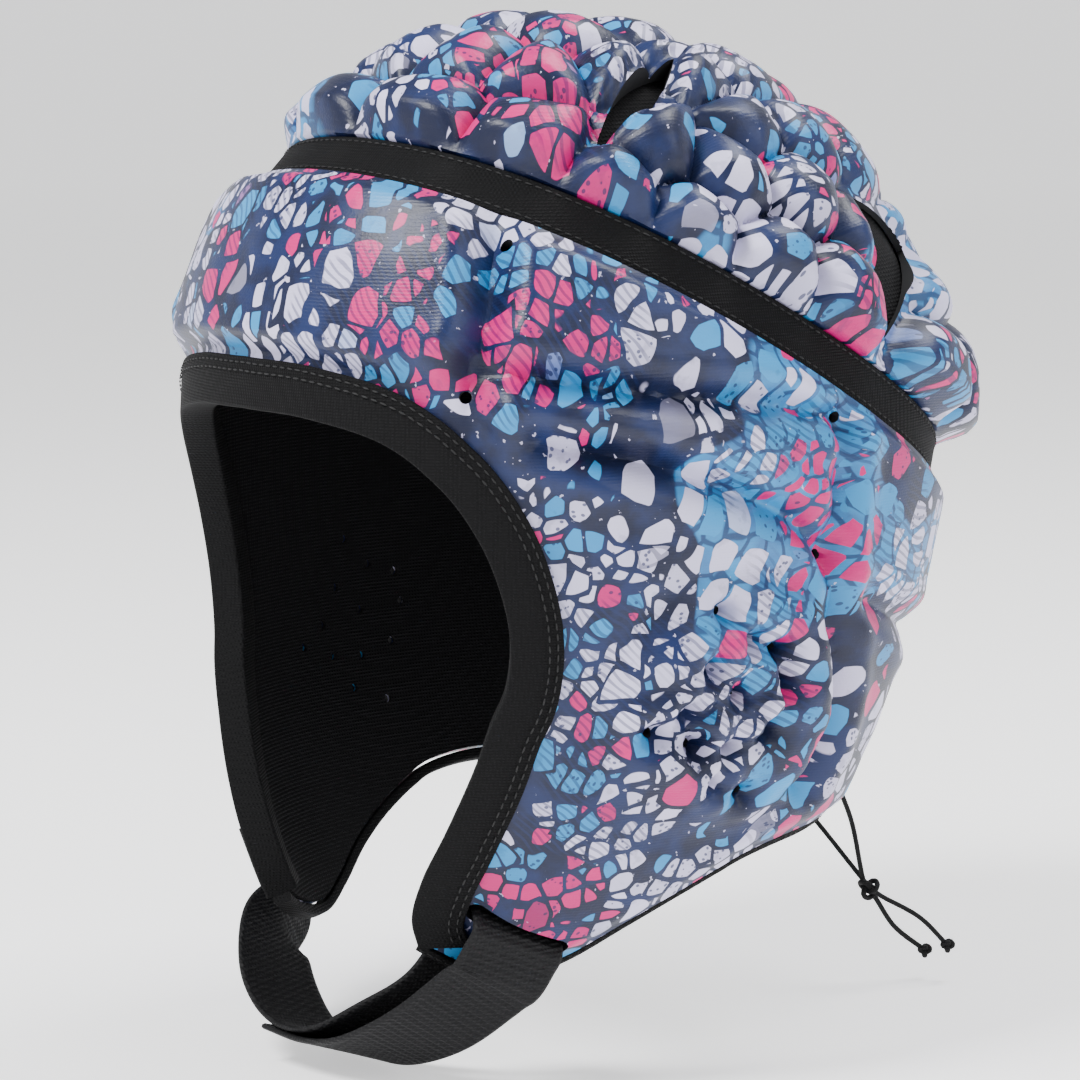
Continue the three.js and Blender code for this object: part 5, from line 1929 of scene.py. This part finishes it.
@dataclass
class Lacing:
    """Crossed lace at the back, its free ends and their knots."""

    braid: Braid = field(default_factory=Braid)
    knot_spot: tuple = (21.5, 94.5, -230.4)
    ends: dict = field(default_factory=lambda: {
        Half.LEFT: (32, 115, -247.8), Half.RIGHT: (26, 112, -249.9),
    })
    knot_diameter: float = 7.0
    end_knot_diameter: float = 4.4
    knot_sides: int = 14

    def path(self) -> Points:
        """Points of the crossed part, from the lowest right eyelet to the lowest left one.

        Returns:
            The points.
        """
        d = self.braid.diameter
        eyelets = [(LowerPanel().eyelet(drop)[0], drop) for drop in EYELET_DROPS]
        inside = -WALLS.tape_clearance - d
        foam = [float(PANEL.thickness(HEAD.spot(*eyelet)[None])[0]) for eyelet in eyelets]
        outside = [WALLS.pad_base + thick + d * 0.9 for thick in foam]

        def at(turn: float, drop: float, rise: float) -> Points:
            """Point over the head form."""
            return HEAD.lifted(HEAD.spot(turn, drop), rise)

        def strand(side: int) -> list[Points]:
            """One strand from the top down."""
            points = []
            for i, (turn, drop) in enumerate(eyelets):
                start = side if i % 2 == 0 else -side
                for rise in (inside, outside[i]):
                    points.append(at(180 - start * (180 - turn), drop, rise))
                if i + 1 == len(eyelets):
                    break
                next_turn, next_drop = eyelets[i + 1]
                middle = WALLS.pad_base + WALLS.flange / 2 + side * (1 if i % 2 == 0 else -1) * d * 0.85
                for share, rise in ((0.27, outside[i] - 1), (0.5, middle), (0.73, inside)):
                    gap = (180 - turn) + share * ((next_turn - 180) - (180 - turn))
                    points.append(at(180 - start * gap, drop + share * (next_drop - drop), rise))
            return points

        top = at(180, EYELET_DROPS[0], inside)
        return np.array([*strand(-1)[::-1], top, *strand(1)])

    def free_line(self, half: Half) -> Points:
        """Centreline of one free end, from its eyelet through the knot to its end knot.

        Args:
            half: Side of its end.

        Returns:
            The points.
        """
        lacing = self.path()
        left = half is Half.LEFT
        start = lacing[-1] if left else lacing[0]
        end = np.array(self.ends[half], float)
        above = np.array(self.knot_spot) + [1.1 if left else -1.1, 0, 0]
        start = start + unit(above - start) * self.braid.diameter
        sag = (start + above) / 2 + [0, 2.5, 0]
        bow = np.ones(3) if left else -np.ones(3)
        tail = above + unit(end - above) * self.knot_diameter * 0.5
        return np.array([start, sag, above, tail, (tail + end) / 2 + bow, end])

    def knot(
        self, centre: Points, diameter: float, turn: float, name: str, cord: Finish
    ) -> Piece:
        """Overhand knot as a closed trefoil of cord.

        Args:
            centre: Middle of the knot.
            diameter: Width over all.
            turn: Turn about the upright axis in radians.
            name: Name of the object.
            cord: Finish.

        Returns:
            The object.
        """
        t = np.linspace(0, 2 * np.pi, 90, endpoint=False)
        scale = (diameter - self.braid.diameter) / 6.0
        across, up = np.sin(t) + 2 * np.sin(2 * t), np.cos(t) - 2 * np.cos(2 * t)
        shape = np.stack([across, -1.3 * np.sin(3 * t), up], axis=1)
        c, s = math.cos(turn), math.sin(turn)
        line = np.array(centre) + (shape * scale) @ np.array([[c, s, 0], [-s, c, 0], [0, 0, 1]])
        along = unit(np.roll(line, -1, axis=0) - np.roll(line, 1, axis=0))
        up = unit(line - np.array(centre))
        up = unit(up - along * np.einsum("ij,ij->i", up, along)[:, None])
        side = np.cross(along, up)
        weave = np.cos(4 * round_angles(self.knot_sides) + 24 * t[:, None])
        radius = self.braid.diameter / 2 * (1 + 0.08 * weave)
        obj = tube(line, up, side, radius, name, closed=True)
        obj.data.materials.append(cord)
        return obj


class Shader(NodeBench):
    """Builds one material's nodes round a Principled shader."""

    def __init__(self, name: str, **sockets: float) -> None:
        """Makes the material.

        Args:
            name: Name of the material.
            sockets: Constant values of the shader, by socket name with underscores for spaces.
        """
        self.material = bpy.data.materials.new(name)
        self.material.use_nodes = True
        super().__init__(self.material.node_tree)
        self.shader = self.tree.nodes["Principled BSDF"]
        for key, value in sockets.items():
            self.shader.inputs[key.replace("_", " ")].default_value = value
        self.coords = self.node("ShaderNodeTexCoord").outputs["Object"]

    def math(self, operation: str, *values: object) -> Socket:
        """Adds a math node."""
        return self.node("ShaderNodeMath", dict(enumerate(values)), operation=operation).outputs[0]

    def times(self, first: object, second: object) -> Socket:
        """Product of two values."""
        return self.math("MULTIPLY", first, second)

    def step(self, value: object, start: float, end: float) -> Socket:
        """Smooth step of a value from 0 at start to 1 at end."""
        inputs = {"Value": value, "From Min": start, "From Max": end}
        return self.node("ShaderNodeMapRange", inputs, interpolation_type="SMOOTHSTEP").outputs["Result"]

    def blend(self, share: object, first: object, second: object) -> Socket:
        """Mixes two colours."""
        inputs = {"Factor": share, 6: first, 7: second}
        return self.node("ShaderNodeMix", inputs, data_type="RGBA").outputs[2]

    def noise(self, scale: float, vector: object, detail: float = 2.0) -> Socket:
        """Value of a noise texture."""
        inputs = {"Vector": vector, "Scale": scale, "Detail": detail}
        return self.node("ShaderNodeTexNoise", inputs).outputs["Fac"]

    def bands(self, direction: str, inputs: dict) -> Socket:
        """Value of a wave texture with bands in a direction."""
        settings = {"wave_type": "BANDS", "bands_direction": direction}
        return self.node("ShaderNodeTexWave", inputs, **settings).outputs["Fac"]

    def mapped(
        self, vector: object, shift: tuple = (0, 0, 0), turn: tuple = (0, 0, 0), size: tuple = (1, 1, 1)
    ) -> Socket:
        """Coordinates shifted, turned and scaled."""
        inputs = {"Vector": vector, "Rotation": turn, "Scale": size, "Location": shift}
        return self.node("ShaderNodeMapping", inputs).outputs[0]

    def bump(self, height: object, distance: float, strength: float) -> None:
        """Gives the shader a bump, with its distance in metres."""
        inputs = {"Height": height, "Distance": distance, "Strength": strength}
        self.put(self.shader, "Normal", self.node("ShaderNodeBump", inputs).outputs[0])


def tone(red: int, green: int, blue: int) -> tuple[float, float, float, float]:
    """Linear colour from screen values."""
    parts = []
    for value in (red, green, blue):
        c = value / 255
        parts.append(c / 12.92 if c <= 0.04045 else ((c + 0.055) / 1.055) ** 2.4)
    return (*parts, 1.0)


@dataclass(frozen=True)
class PrintedFabric:
    """Stretch fabric over the foam, printed with clusters of reptile-skin cells.

    Scales are a metre. Shares and the places where a colour starts are levels of a noise from 0
    to 1, and the cells' sizes are in their own pitch.
    """

    name: str
    shift: tuple[float, float, float]
    blue_share: float
    cell_share: float
    big_scale: float = 138.0
    small_scale: float = 215.0
    dot_scale: float = 620.0
    crackle_scale: float = 165.0
    hatch_scale: float = 225.0
    knit_scale: float = 420.0
    randomness: float = 0.66
    cell_reach: float = 0.68
    cell_gap: float = 0.034
    rounding: float = 0.24
    sky_from: float = 0.6
    pink_from: float = 0.668
    navy: tuple = tone(18, 34, 76)
    deep: tuple = tone(10, 18, 46)
    blue: tuple = tone(44, 98, 152)
    pale: tuple = tone(200, 196, 226)
    sky: tuple = tone(38, 136, 194)
    pink: tuple = tone(198, 0, 108)

    def _cells(self, s: Shader, vector: object, scale: float, soft: float) -> tuple:
        """Rounded cells of one size.

        Args:
            s: Shader that is being built.
            vector: Coordinates.
            scale: Cells a metre.
            soft: Softness of their edges.

        Returns:
            Their mask, their random values and their centres.
        """
        inputs = {"Vector": vector, "Scale": scale, "Randomness": self.randomness}
        edge = s.node("ShaderNodeTexVoronoi", inputs, feature="DISTANCE_TO_EDGE").outputs["Distance"]
        cell = s.node("ShaderNodeTexVoronoi", inputs, feature="F1").outputs
        inside = s.step(cell["Distance"], self.cell_reach, self.cell_reach - soft)
        corner = s.times(s.math("POWER", cell["Distance"], 2.0), self.rounding)
        apart = s.step(s.math("SUBTRACT", edge, corner), self.cell_gap, self.cell_gap + soft / 2)
        split = s.node("ShaderNodeSeparateColor", {0: cell["Color"]})
        return s.times(inside, apart), split.outputs, cell["Position"]

    def _clusters(self, s: Shader, warped: object) -> tuple:
        """Clusters of big and small cells.

        Args:
            s: Shader that is being built.
            warped: Coordinates with a slight wobble.

        Returns:
            Their mask and their colour.
        """
        stretched = s.mapped(warped, size=(1.0, 1.0, 0.8))
        big, big_parts, big_spot = self._cells(s, stretched, self.big_scale, 0.035)
        small, small_parts, small_spot = self._cells(s, stretched, self.small_scale, 0.06)
        is_small = s.step(s.noise(33.0, s.mapped(big_spot, (7.3, 2.2, 5.1)), 1.0), 0.5, 0.502)
        spot = s.blend(is_small, big_spot, small_spot)
        big = s.times(big, s.math("SUBTRACT", 1.0, is_small))
        mask = s.math("ADD", big, s.times(small, is_small))
        parts = [s.blend(is_small, big_parts[i], small_parts[i]) for i in range(3)]
        zone = s.math("ADD", s.noise(21.0, spot), s.times(parts[1], 0.16))
        mask = s.times(mask, s.step(zone, 0.65 - self.cell_share, 0.652 - self.cell_share))

        hue = s.noise(24.0, s.mapped(spot, (1.3, 8.4, 2.9)), 1.0)
        pick = s.math("ADD", s.times(parts[0], 0.13), hue)
        colour = s.blend(s.step(pick, self.sky_from, self.sky_from + 0.002), self.pale, self.sky)
        colour = s.blend(s.step(pick, self.pink_from, self.pink_from + 0.002), colour, self.pink)
        colour = s.blend(s.step(parts[0], 0.93, 0.94), colour, self.pink)
        colour = s.blend(s.step(parts[1], 0.9, 0.91), colour, self.sky)
        colour = s.blend(s.times(parts[2], 0.22), colour, self.navy)

        dots = s.node("ShaderNodeTexVoronoi", {"Vector": warped, "Scale": self.dot_scale}, feature="F1")
        dotted = s.times(s.step(dots.outputs["Distance"], 0.3, 0.24), s.step(parts[2], 0.62, 0.63))
        return mask, s.blend(s.times(dotted, 0.8), colour, self.navy)

    def _ground(self, s: Shader, base: object, warped: object) -> Socket:
        """Mottled navy with washes of crackled blue and a few brush marks.

        Args:
            s: Shader that is being built.
            base: Coordinates.
            warped: Coordinates with a slight wobble.

        Returns:
            The colour.
        """
        wash = s.noise(15.0, s.mapped(base, (3.1, 1.7, 0.4)), 1.5)
        blotch = s.noise(95.0, base, 4.0)
        ground = s.blend(s.step(blotch, 0.4, 0.66), self.deep, self.navy)
        inputs = {"Vector": warped, "Scale": self.crackle_scale}
        crackle = s.node("ShaderNodeTexVoronoi", inputs, feature="DISTANCE_TO_EDGE")
        cracks = s.step(crackle.outputs["Distance"], 0.11, 0.05)
        blue = s.blend(s.step(blotch, 0.3, 0.7), self.blue, self.sky)
        washed = s.blend(s.times(cracks, 0.8), blue, self.navy)
        is_washed = s.step(wash, 0.675 - self.blue_share, 0.685 - self.blue_share)
        ground = s.blend(is_washed, ground, washed)
        brush = s.noise(70.0, s.mapped(base, turn=(0.5, 0.9, 0.3), size=(1.0, 9.0, 9.0)), 3.0)
        return s.blend(s.times(s.step(brush, 0.69, 0.705), 0.7), ground, self.pale)

    def _worn(self, s: Shader, base: object, warped: object, colour: object) -> Socket:
        """Colour with hatched lines and scuffs over it.

        Args:
            s: Shader that is being built.
            base: Coordinates.
            warped: Coordinates with a slight wobble.
            colour: Colour of the print.

        Returns:
            The colour.
        """
        turned = s.mapped(warped, turn=(0.2, 0.3, 0.1))
        lines = s.bands("DIAGONAL", {"Vector": turned, "Scale": self.hatch_scale})
        hatched = s.step(s.noise(27.0, s.mapped(base, (4.4, 6.1, 9.2)), 1.0), 0.55, 0.6)
        hatch = s.times(s.times(s.step(lines, 0.62, 0.8), hatched), 0.55)
        colour = s.blend(hatch, colour, self.navy)
        scuff = s.times(s.step(s.noise(240.0, base, 5.0), 0.58, 0.68), 0.22)
        return s.blend(scuff, colour, self.navy)

    def build(self) -> Finish:
        """Makes the material, on the places of the head form that its pieces store.

        Returns:
            The material.
        """
        s = Shader(self.name, Roughness=0.4, Specular_IOR_Level=0.34)
        place = s.node("ShaderNodeAttribute", attribute_type="GEOMETRY", attribute_name="print_place")
        place = place.outputs["Vector"]
        base = s.mapped(place, self.shift, (0.4, 0.2, 0.7))
        wobble = s.node("ShaderNodeTexNoise", {"Vector": base, "Scale": 60.0})
        sway = {0: wobble.outputs["Color"], 1: (0.006, 0.006, 0.006), 2: base}
        warped = s.node("ShaderNodeVectorMath", sway, operation="MULTIPLY_ADD").outputs[0]
        mask, colour = self._clusters(s, warped)
        colour = s.blend(mask, self._ground(s, base, warped), colour)
        s.put(s.shader, "Base Color", self._worn(s, base, warped, colour))
        knit = {"Scale": self.knit_scale, "Vector": place, "Distortion": 3.0, "Detail Scale": 6.0}
        relief = s.math("ADD", s.times(s.bands("Z", knit), 0.35), s.noise(1500.0, s.coords, 3.0))
        s.bump(relief, 0.00012, 0.55)
        return s.material


@dataclass(frozen=True)
class Knit:
    """Dark knitted or woven cloth with a fine relief, and a painted sheen: a lighter copy of its colour
    on the raised threads, broken up by a random fleck.
    """

    name: str
    colour: tuple
    roughness: float
    scale: float
    depth: float
    specular: float = 0.14

    def build(self) -> Finish:
        """Makes the material.

        Returns:
            The material.
        """
        s = Shader(self.name, Roughness=self.roughness, Specular_IOR_Level=self.specular)
        inputs = {"Vector": s.coords, "Scale": self.scale, "Distortion": 0.6}
        waves = [s.bands(direction, inputs) for direction in ("X", "Y", "Z")]
        weave = s.times(s.math("ADD", waves[0], waves[1]), waves[2])
        fleck = s.noise(900.0, s.coords, 3.0)
        # Painted sheen: a lighter copy of the cloth's colour where the weave's raised threads are,
        # broken up by a random fleck.
        painted_sheen = tuple(min(1.0, c * 1.8 + 0.002) for c in self.colour[:3]) + (1.0,)
        s.put(s.shader, "Base Color", s.blend(s.times(weave, fleck), self.colour, painted_sheen))
        s.bump(s.math("ADD", weave, fleck), self.depth, 0.8)
        return s.material


@dataclass(frozen=True)
class Plain:
    """Plain matt surface with a faint mottle."""

    name: str
    colour: tuple
    roughness: float
    mottle: float = 0.04
    scale: float = 40.0
    glow: float = 0.0

    def build(self) -> Finish:
        """Makes the material."""
        s = Shader(self.name, Roughness=self.roughness, Emission_Strength=self.glow)
        s.put(s.shader, "Emission Color", self.colour)
        dark = tuple(c * (1 - self.mottle) for c in self.colour[:3]) + (1.0,)
        s.put(s.shader, "Base Color", s.blend(s.noise(self.scale, s.coords, 3.0), self.colour, dark))
        return s.material


@dataclass
class Finishes:
    """All the materials of the cap."""

    crown_print: Finish
    panel_print: Finish
    lining: Finish
    tape: Finish
    webbing: Finish
    cord: Finish
    wall: Finish
    thread: Finish

    @classmethod
    def build(cls) -> "Finishes":
        """Makes them.

        Returns:
            The finishes.
        """
        crown = PrintedFabric("crown_print", (0.31, 0.12, 0.05), 0.12, 0.19, 160.0, 245.0)
        panel = PrintedFabric("panel_print", (0.05, 0.44, 0.21), 0.06, 0.16)
        return cls(
            crown_print=crown.build(),
            panel_print=panel.build(),
            lining=Knit("knit_lining", tone(9, 9, 11), 0.85, 330.0, 0.0002).build(),
            tape=Knit("woven_tape", tone(4, 4, 5), 0.75, 420.0, 0.00015).build(),
            webbing=Knit("ribbed_webbing", tone(7, 7, 9), 0.62, 300.0, 0.00018, 0.2).build(),
            cord=Knit("braided_cord", tone(8, 8, 9), 0.65, 600.0, 0.0001, 0.2).build(),
            wall=Plain("cut_foam_wall", tone(16, 17, 21), 0.9, 0.3, 900.0).build(),
            thread=Plain("black_thread", tone(9, 9, 10), 0.7, 0.3, 3000.0).build(),
        )


@dataclass(frozen=True)
class Softbox:
    """Square light: azimuth from the camera, elevation, distance and size in metres, and watts."""

    name: str
    azimuth: float
    elevation: float
    distance: float
    size: float
    power: float


SOFTBOXES = (
    Softbox("key", -52, 52, 1.3, 0.45, 27.0),
    Softbox("fill", 58, 30, 1.5, 0.8, 7.0),
    Softbox("top", 120, 64, 1.3, 0.6, 16.0),
)


@dataclass
class Studio:
    """Camera, pale floor that curves up far behind the cap, and soft lights."""

    azimuth: float = 52.0
    elevation: float = 8.0
    distance: float = 1.0
    target: tuple[float, float, float] = (-0.002, -0.003, -0.127)
    lens: float = 126.7
    sensor: float = 36.0
    floor_level: float = -0.258
    floor_flat: float = 5000.0
    floor_curve: float = 3000.0
    world_light: float = 0.45

    def _aim(
        self, name: str, data: bpy.types.ID, azimuth: float, elevation: float, distance: float
    ) -> Piece:
        """Puts a camera or light round the target and turns it there.

        Args:
            name: Name of the object.
            data: Camera or light.
            azimuth: Degrees from the front to the wearer's left.
            elevation: Degrees above the level.
            distance: Distance from the target.

        Returns:
            The object.
        """
        az, el = math.radians(azimuth), math.radians(elevation)
        way = Vector((math.sin(az) * math.cos(el), -math.cos(az) * math.cos(el), math.sin(el)))
        obj = linked(name, data)
        obj.location = Vector(self.target) + way * distance
        obj.rotation_euler = way.to_track_quat("Z", "Y").to_euler()
        return obj

    def camera(self) -> None:
        """Sets the camera."""
        data = bpy.data.cameras.new("camera")
        data.lens = self.lens
        data.sensor_width = self.sensor
        obj = self._aim("camera", data, self.azimuth, self.elevation, self.distance)
        bpy.context.scene.camera = obj

    def _floor(self) -> None:
        """Makes the floor, a wide bowl whose faces look inwards."""
        builder = MeshBuilder()
        rise = np.linspace(0, math.pi / 2, 17)
        reach = np.concatenate([[0.0, 2000.0], self.floor_flat + self.floor_curve * np.sin(rise)])
        level = np.concatenate([[0.0, 0.0], self.floor_curve * (1 - np.cos(rise))])
        level += self.floor_level / MM
        turn = round_angles(96)
        rings = [reach[:, None] * np.sin(turn), reach[:, None] * np.cos(turn), level[:, None] + 0 * turn]
        builder.grid(builder.add(np.stack(rings, axis=-1)), wrap=True)
        floor = builder.build("pale_floor")
        floor.data.flip_normals()
        finish = Plain("pale_floor", tone(248, 248, 249), 0.8, 0.01, 2.0, 0.72)
        floor.data.materials.append(finish.build())

    def build(self) -> None:
        """Makes the floor, the world and the lights."""
        self._floor()
        world = bpy.data.worlds.new("pale_world")
        world.use_nodes = True
        back = world.node_tree.nodes["Background"]
        back.inputs["Color"].default_value = (1.0, 1.0, 1.0, 1.0)
        back.inputs["Strength"].default_value = self.world_light
        bpy.context.scene.world = world
        for box in SOFTBOXES:
            data = bpy.data.lights.new(box.name, "AREA")
            data.shape = "SQUARE"
            data.size = box.size
            data.energy = box.power
            self._aim(box.name, data, self.azimuth + box.azimuth, box.elevation, box.distance)


class Report:
    """Attaches finished pieces, hides the CAD parts that they stand for and says what was built."""

    def __init__(self) -> None:
        """Starts with no pieces."""
        self.count = 0

    def piece(self, obj: Piece, slot: Slot, *nodes: str) -> Piece:
        """Attaches a piece to the cap.

        Args:
            obj: Finished object.
            slot: Not used.
            nodes: CAD nodes that it stands for.

        Returns:
            The same object.
        """
        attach(obj, "root")
        if nodes:
            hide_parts(*nodes)
        self.count += 1
        stands_for = ", ".join(nodes) or "no node"
        log.info("%s: %d faces, stands for %s", obj.name, len(obj.data.polygons), stands_for)
        return obj


def build_pads(finishes: Finishes, report: Report) -> None:
    """Makes the two padded shells and their linings.

    Args:
        finishes: Materials.
        report: Keeper of the pieces.
    """
    crown = CrownPad()
    pad = report.piece(crown.build(finishes.crown_print, finishes.wall), Slot.CROWN_PRINT, "crown_pad")
    report.piece(crown.build_lining(finishes.lining), Slot.LINING, "crown_lining")
    lower = LowerPanel()
    foam = lower.build(finishes.panel_print, finishes.wall)
    panel = report.piece(foam, Slot.PANEL_PRINT, "lower_panel")
    report.piece(lower.build_lining(finishes.lining), Slot.LINING, "lower_lining")


def build_tapes(finishes: Finishes, report: Report) -> None:
    """Makes the bindings, the band and the strap with their stitches.

    Args:
        finishes: Materials.
        report: Keeper of the pieces.
    """
    stitches = StitchRun(finishes.thread)
    binding = FaceBinding()
    report.piece(binding.build(finishes.tape), Slot.TAPE, "face_binding")
    report.piece(stitches.sew("face_binding_stitches", binding.seams(), binding.stitch), Slot.TAPE)
    band = CrownBand()
    report.piece(band.build(finishes.tape), Slot.TAPE, "crown_band")
    report.piece(stitches.sew("crown_band_stitches", band.seams(), band.stitch), Slot.TAPE)
    hems = [NeckHem(half) for half in Half]
    for hem in hems:
        report.piece(hem.build(finishes.tape), Slot.TAPE, f"neck_binding_{hem.half.name.lower()}")
    seams = [hem.seam() for hem in hems]
    report.piece(stitches.sew("neck_binding_stitches", seams, hems[0].stitch), Slot.TAPE)
    strap = ChinStrap()
    report.piece(strap.build(finishes.webbing), Slot.WEBBING, "chin_strap")
    report.piece(stitches.sew("chin_strap_stitches", strap.seams(), strap.stitch), Slot.WEBBING)


def build_lace(finishes: Finishes, report: Report) -> None:
    """Makes the lacing, the free cords and their knots.

    Args:
        finishes: Materials.
        report: Keeper of the pieces.
    """
    lacing = Lacing()
    crossed = lacing.braid.build(lacing.path(), "crossed_lace", finishes.cord)
    report.piece(crossed, Slot.CORD, "back_lacing")
    diameters = lacing.knot_diameter, lacing.end_knot_diameter
    middle = lacing.knot(lacing.knot_spot, diameters[0], 0.6, "lace_overhand_knot", finishes.cord)
    report.piece(middle, Slot.CORD, "lace_knot")
    for half, spot in lacing.ends.items():
        side = half.name.lower()
        line = SmoothPath(lacing.free_line(half), per_span=20)
        points = line.at_length(np.linspace(0, 1, 120))
        cord = lacing.braid.build(points, f"free_lace_{side}", finishes.cord)
        report.piece(cord, Slot.CORD, f"lace_strand_{side}", f"lace_tail_{side}")
        end = lacing.knot(spot, diameters[1], 1.4, f"end_knot_{side}", finishes.cord)
        report.piece(end, Slot.CORD, f"lace_end_knot_{side}")
        log.info("%s: %.1f mm long", cord.name, line.length)


def main() -> None:
    """Builds the scene in order."""
    logging.basicConfig(level=logging.INFO, format="%(message)s", stream=sys.stdout)
    studio = Studio()
    studio.camera()
    finishes = Finishes.build()
    report = Report()
    build_lace(finishes, report)
    build_pads(finishes, report)
    build_tapes(finishes, report)
    studio.build()
    log.info("%d pieces", report.count)


if __name__ == "__main__":
    main()
